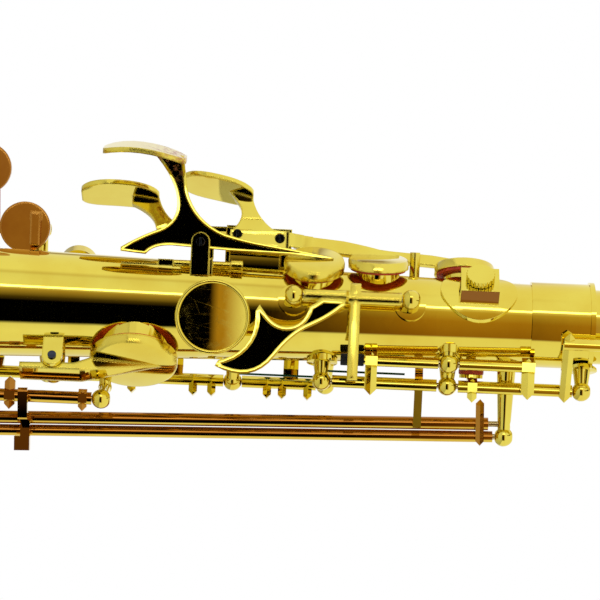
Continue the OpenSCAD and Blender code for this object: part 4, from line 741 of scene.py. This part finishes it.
def makeRim(nodeName):
    s = {**rimShared, **rimSets[nodeName]}
    obj = copyNode(nodeName, nodeName + "_border")
    front = spot(0, s["front"], 0).y
    editMode(obj)
    pick(obj, lambda c, n: not (n.y < -0.95 and abs(c.y - front) < s["near"]))
    bpy.ops.mesh.delete(type="FACE")
    bpy.ops.mesh.select_all(action="SELECT")
    bpy.ops.mesh.dissolve_limited(angle_limit=math.radians(s["straight"]))
    bpy.ops.mesh.select_all(action="SELECT")
    bpy.ops.mesh.inset(thickness=s["wide"], use_boundary=True)
    bpy.ops.mesh.delete(type="FACE")
    if "top" in s:
        pick(obj, lambda c, n: c.x < -s["top"])
        bpy.ops.mesh.delete(type="FACE")
    bpy.ops.mesh.select_all(action="SELECT")
    bpy.ops.transform.translate(value=(0, s["sink"], 0))
    bpy.ops.mesh.extrude_region_move(TRANSFORM_OT_translate={"value": (0, -s["sink"] - s["high"], 0)})
    bpy.ops.mesh.select_all(action="SELECT")
    bpy.ops.mesh.normals_make_consistent(inside=False)
    bpy.ops.object.mode_set(mode="OBJECT")
    bevelEdges(obj, s["round"], 3, 50)
    editMode(obj)
    bpy.ops.mesh.select_all(action="SELECT")
    bpy.ops.mesh.remove_doubles(threshold=s["merge"])
    bpy.ops.object.mode_set(mode="OBJECT")
    return finishPiece(obj, barBrass, bodyOf[nodeName], 60)


for name in rimSets:
    makeRim(name)
print("borders made")

# black sleeve on the pin that the octave lever pushes
sleeveSet = {"at": (17.8, -14.0), "from": -79.4, "to": -69.6, "radius": 0.00255, "sides": 40,
             "lip": 0.0005, "round": 0.0003}


def makeSleeve():
    s = sleeveSet
    long = (s["to"] - s["from"]) / 1000
    deselectAll()
    bpy.ops.mesh.primitive_cylinder_add(vertices=s["sides"], radius=s["radius"], depth=long)
    obj = added("octaveSleeve")
    editMode(obj)
    pick(obj, lambda c, n: abs(n.z) > 0.9)
    bpy.ops.mesh.inset(thickness=s["lip"], use_individual=True)
    bpy.ops.object.mode_set(mode="OBJECT")
    bevelEdges(obj, s["round"], 2, 50)
    standAt(obj, spot(*s["at"], (s["from"] + s["to"]) / 2), Vector((0, 0, 1)))
    return finishPiece(obj, blackFelt, "octave_rocker", 50)


makeSleeve()
print("sleeve made")


# felts under the guards and the cork on the neck stand for their CAD solids
guardFeltSet = {"sides": 48, "steps": (0.2, 0.3), "rise": 0.0001, "round": 0.0003}
corkSleeveSet = {"straight": 1, "round": 0.0006}


def makeGuardFelts():
    s = guardFeltSet
    discs = []
    for i, loose in enumerate(looseParts(copyNode("guard_felts", "guardFeltSpare"))):
        centre, axis, radius, thick = discShape(loose)
        bpy.data.objects.remove(loose)
        deselectAll()
        bpy.ops.mesh.primitive_cylinder_add(vertices=s["sides"], radius=radius, depth=thick)
        obj = added("guardFelt%d" % i)
        editMode(obj)
        pick(obj, lambda c, n: abs(n.z) > 0.9)
        for wide in s["steps"]:
            bpy.ops.mesh.inset(thickness=radius * wide, depth=s["rise"], use_individual=True)
        bpy.ops.object.mode_set(mode="OBJECT")
        bevelEdges(obj, s["round"], 2, 50)
        standAt(obj, centre, axis)
        discs.append(obj)
    deselectAll()
    for obj in discs:
        obj.select_set(True)
    bpy.context.view_layer.objects.active = discs[0]
    bpy.ops.object.join()
    felts = added("guardFelts")
    finishPiece(felts, greenFelt, "body", 50)
    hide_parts("guard_felts")


def makeCork():
    obj = copyNode("neck_cork", "neckCorkSleeve")
    editMode(obj)
    bpy.ops.mesh.select_all(action="SELECT")
    bpy.ops.mesh.dissolve_limited(angle_limit=math.radians(corkSleeveSet["straight"]))
    bpy.ops.object.mode_set(mode="OBJECT")
    bevelEdges(obj, corkSleeveSet["round"], 3, 50)
    finishPiece(obj, cork, "body", 40)
    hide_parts("neck_cork")


makeGuardFelts()
makeCork()
print("felts and cork made")

# world: white for the camera, a soft studio for reflections, an even level for the rest
worldSet = {"level": 0.45, "peak": 6.0, "cardLeft": (-0.44, -0.33), "warmFrom": (0.04, 0.10),
            "warmTo": (0.14, 0.30), "dim": 0.45, "warm": (1.0, 0.68, 0.2)}
# degrees round the tube, and the colour or level there
warmStops = [(-180, (1, 1, 1)), (-46, (0.95, 0.92, 0.8)), (-41, (0.34, 0.16, 0.02)), (0, (0.44, 0.23, 0.035)),
             (25, (0.60, 0.42, 0.12)), (33, (0.9, 0.8, 0.6)), (36, (6, 6, 6)), (37.5, (6, 6, 6)),
             (39, (1, 1, 1)), (180, (1, 1, 1))]
bandStops = [(-180, 1.0), (-174, 0.9), (-162, 0.3), (-152, 0.9), (-60, 1.0), (-46, 0.92), (-40, 0.0), (6, 0.0),
             (14, 0.07), (30, 0.5), (34, 0.85), (36, 6.0), (37.5, 6.0), (39, 1.0), (64, 0.92), (70, 0.78),
             (78, 1.0), (140, 0.95), (150, 0.3), (160, 0.95), (180, 1.0)]


def warmTone(v):
    # dim parts of the studio are brown, bright parts white
    pull = min(1.0, max(0.0, (v - worldSet["dim"]) / worldSet["dim"]))
    return tuple(v * (c + (1 - c) * pull) for c in worldSet["warm"])


def roundTube(tree, turn, stops):
    # a ramp over the full turn, scaled so that the brightest stop fits in a colour
    scaled = [((deg + 180) / 360, tuple(c / worldSet["peak"] for c in colour)) for deg, colour in stops]
    return rampNode(tree, turn, scaled)


def makeWorld():
    s = worldSet
    world = bpy.data.worlds.new("studio")
    scene.world = world
    world.use_nodes = True
    tree = world.node_tree
    tree.nodes.clear()
    out = tree.nodes.new("ShaderNodeOutputWorld")
    split = tree.nodes.new("ShaderNodeSeparateXYZ")
    tree.links.new(tree.nodes.new("ShaderNodeTexCoord").outputs["Generated"], split.inputs["Vector"])
    # 0 towards the player, positive towards the palm keys
    sideways = mathNode(tree, "MULTIPLY", split.outputs["X"], -1)
    toPlayer = mathNode(tree, "MULTIPLY", split.outputs["Y"], -1)
    angle = mathNode(tree, "ARCTAN2", sideways, toPlayer)
    turn = rangeNode(tree, angle, -math.pi, math.pi, 0, 1)
    band = roundTube(tree, turn, [(deg, warmTone(v)) for deg, v in bandStops])
    # the dark card ends along the tube, with a warm part towards the top
    warmBand = roundTube(tree, turn, warmStops)
    left = rangeNode(tree, split.outputs["Z"], *s["cardLeft"], 0, 1)
    near = rangeNode(tree, split.outputs["Z"], *s["warmFrom"], 0, 1)
    far = rangeNode(tree, split.outputs["Z"], *s["warmTo"], 1, 0)
    shade = mixColour(tree, mathNode(tree, "MULTIPLY", left, far), (1 / s["peak"],) * 3,
                      mixColour(tree, near, band, warmBand))
    studio = tree.nodes.new("ShaderNodeBackground")
    tree.links.new(shade, studio.inputs["Color"])
    studio.inputs["Strength"].default_value = s["peak"]
    plain = tree.nodes.new("ShaderNodeBackground")
    plain.inputs["Color"].default_value = (1, 1, 1, 1)
    plain.inputs["Strength"].default_value = s["level"]
    white = tree.nodes.new("ShaderNodeBackground")
    white.inputs["Color"].default_value = (1, 1, 1, 1)
    paths = tree.nodes.new("ShaderNodeLightPath")
    glossy = tree.nodes.new("ShaderNodeMixShader")
    tree.links.new(paths.outputs["Is Glossy Ray"], glossy.inputs["Fac"])
    tree.links.new(plain.outputs[0], glossy.inputs[1])
    tree.links.new(studio.outputs[0], glossy.inputs[2])
    seen = tree.nodes.new("ShaderNodeMixShader")
    tree.links.new(paths.outputs["Is Camera Ray"], seen.inputs["Fac"])
    tree.links.new(glossy.outputs[0], seen.inputs[1])
    tree.links.new(white.outputs[0], seen.inputs[2])
    tree.links.new(seen.outputs[0], out.inputs["Surface"])


makeWorld()

# lamp and floor
lampSet = {"place": (-1.0, -1.3, 2.0), "aim": (0, 0.1, 0), "size": 2.2, "power": 46.0}
floorSet = {"half": 2.6, "middle": (0, 0.1), "below": 0.0005, "colour": (0.86, 0.86, 0.85), "dull": 0.97,
            "grain": 30, "rough": 0.7}


def makeStage():
    data = bpy.data.lights.new("softBox", "AREA")
    data.size = lampSet["size"]
    data.energy = lampSet["power"]
    lamp = bpy.data.objects.new("softBox", data)
    lamp.location = lampSet["place"]
    aim = Vector(lampSet["aim"]) - lamp.location
    lamp.rotation_euler = aim.to_track_quat("-Z", "Y").to_euler()
    lamp.visible_glossy = False
    scene.collection.objects.link(lamp)
    deselectAll()
    s = floorSet
    place = (*s["middle"], cadBox[0][2] - s["below"])
    bpy.ops.mesh.primitive_plane_add(size=s["half"] * 2, location=place)
    floor = added("paleFloor")
    mat, tree, shader = newMaterial("paleFloor")
    grain = noiseNode(tree, objectCoords(tree), s["grain"], 3, 0.5)
    dull = tuple(c * s["dull"] for c in s["colour"])
    tree.links.new(rampNode(tree, grain, [(0.3, dull), (0.7, s["colour"])]), shader.inputs["Base Color"])
    shader.inputs["Roughness"].default_value = s["rough"]
    floor.data.materials.append(mat)


makeStage()
print("world, lamp and floor made")
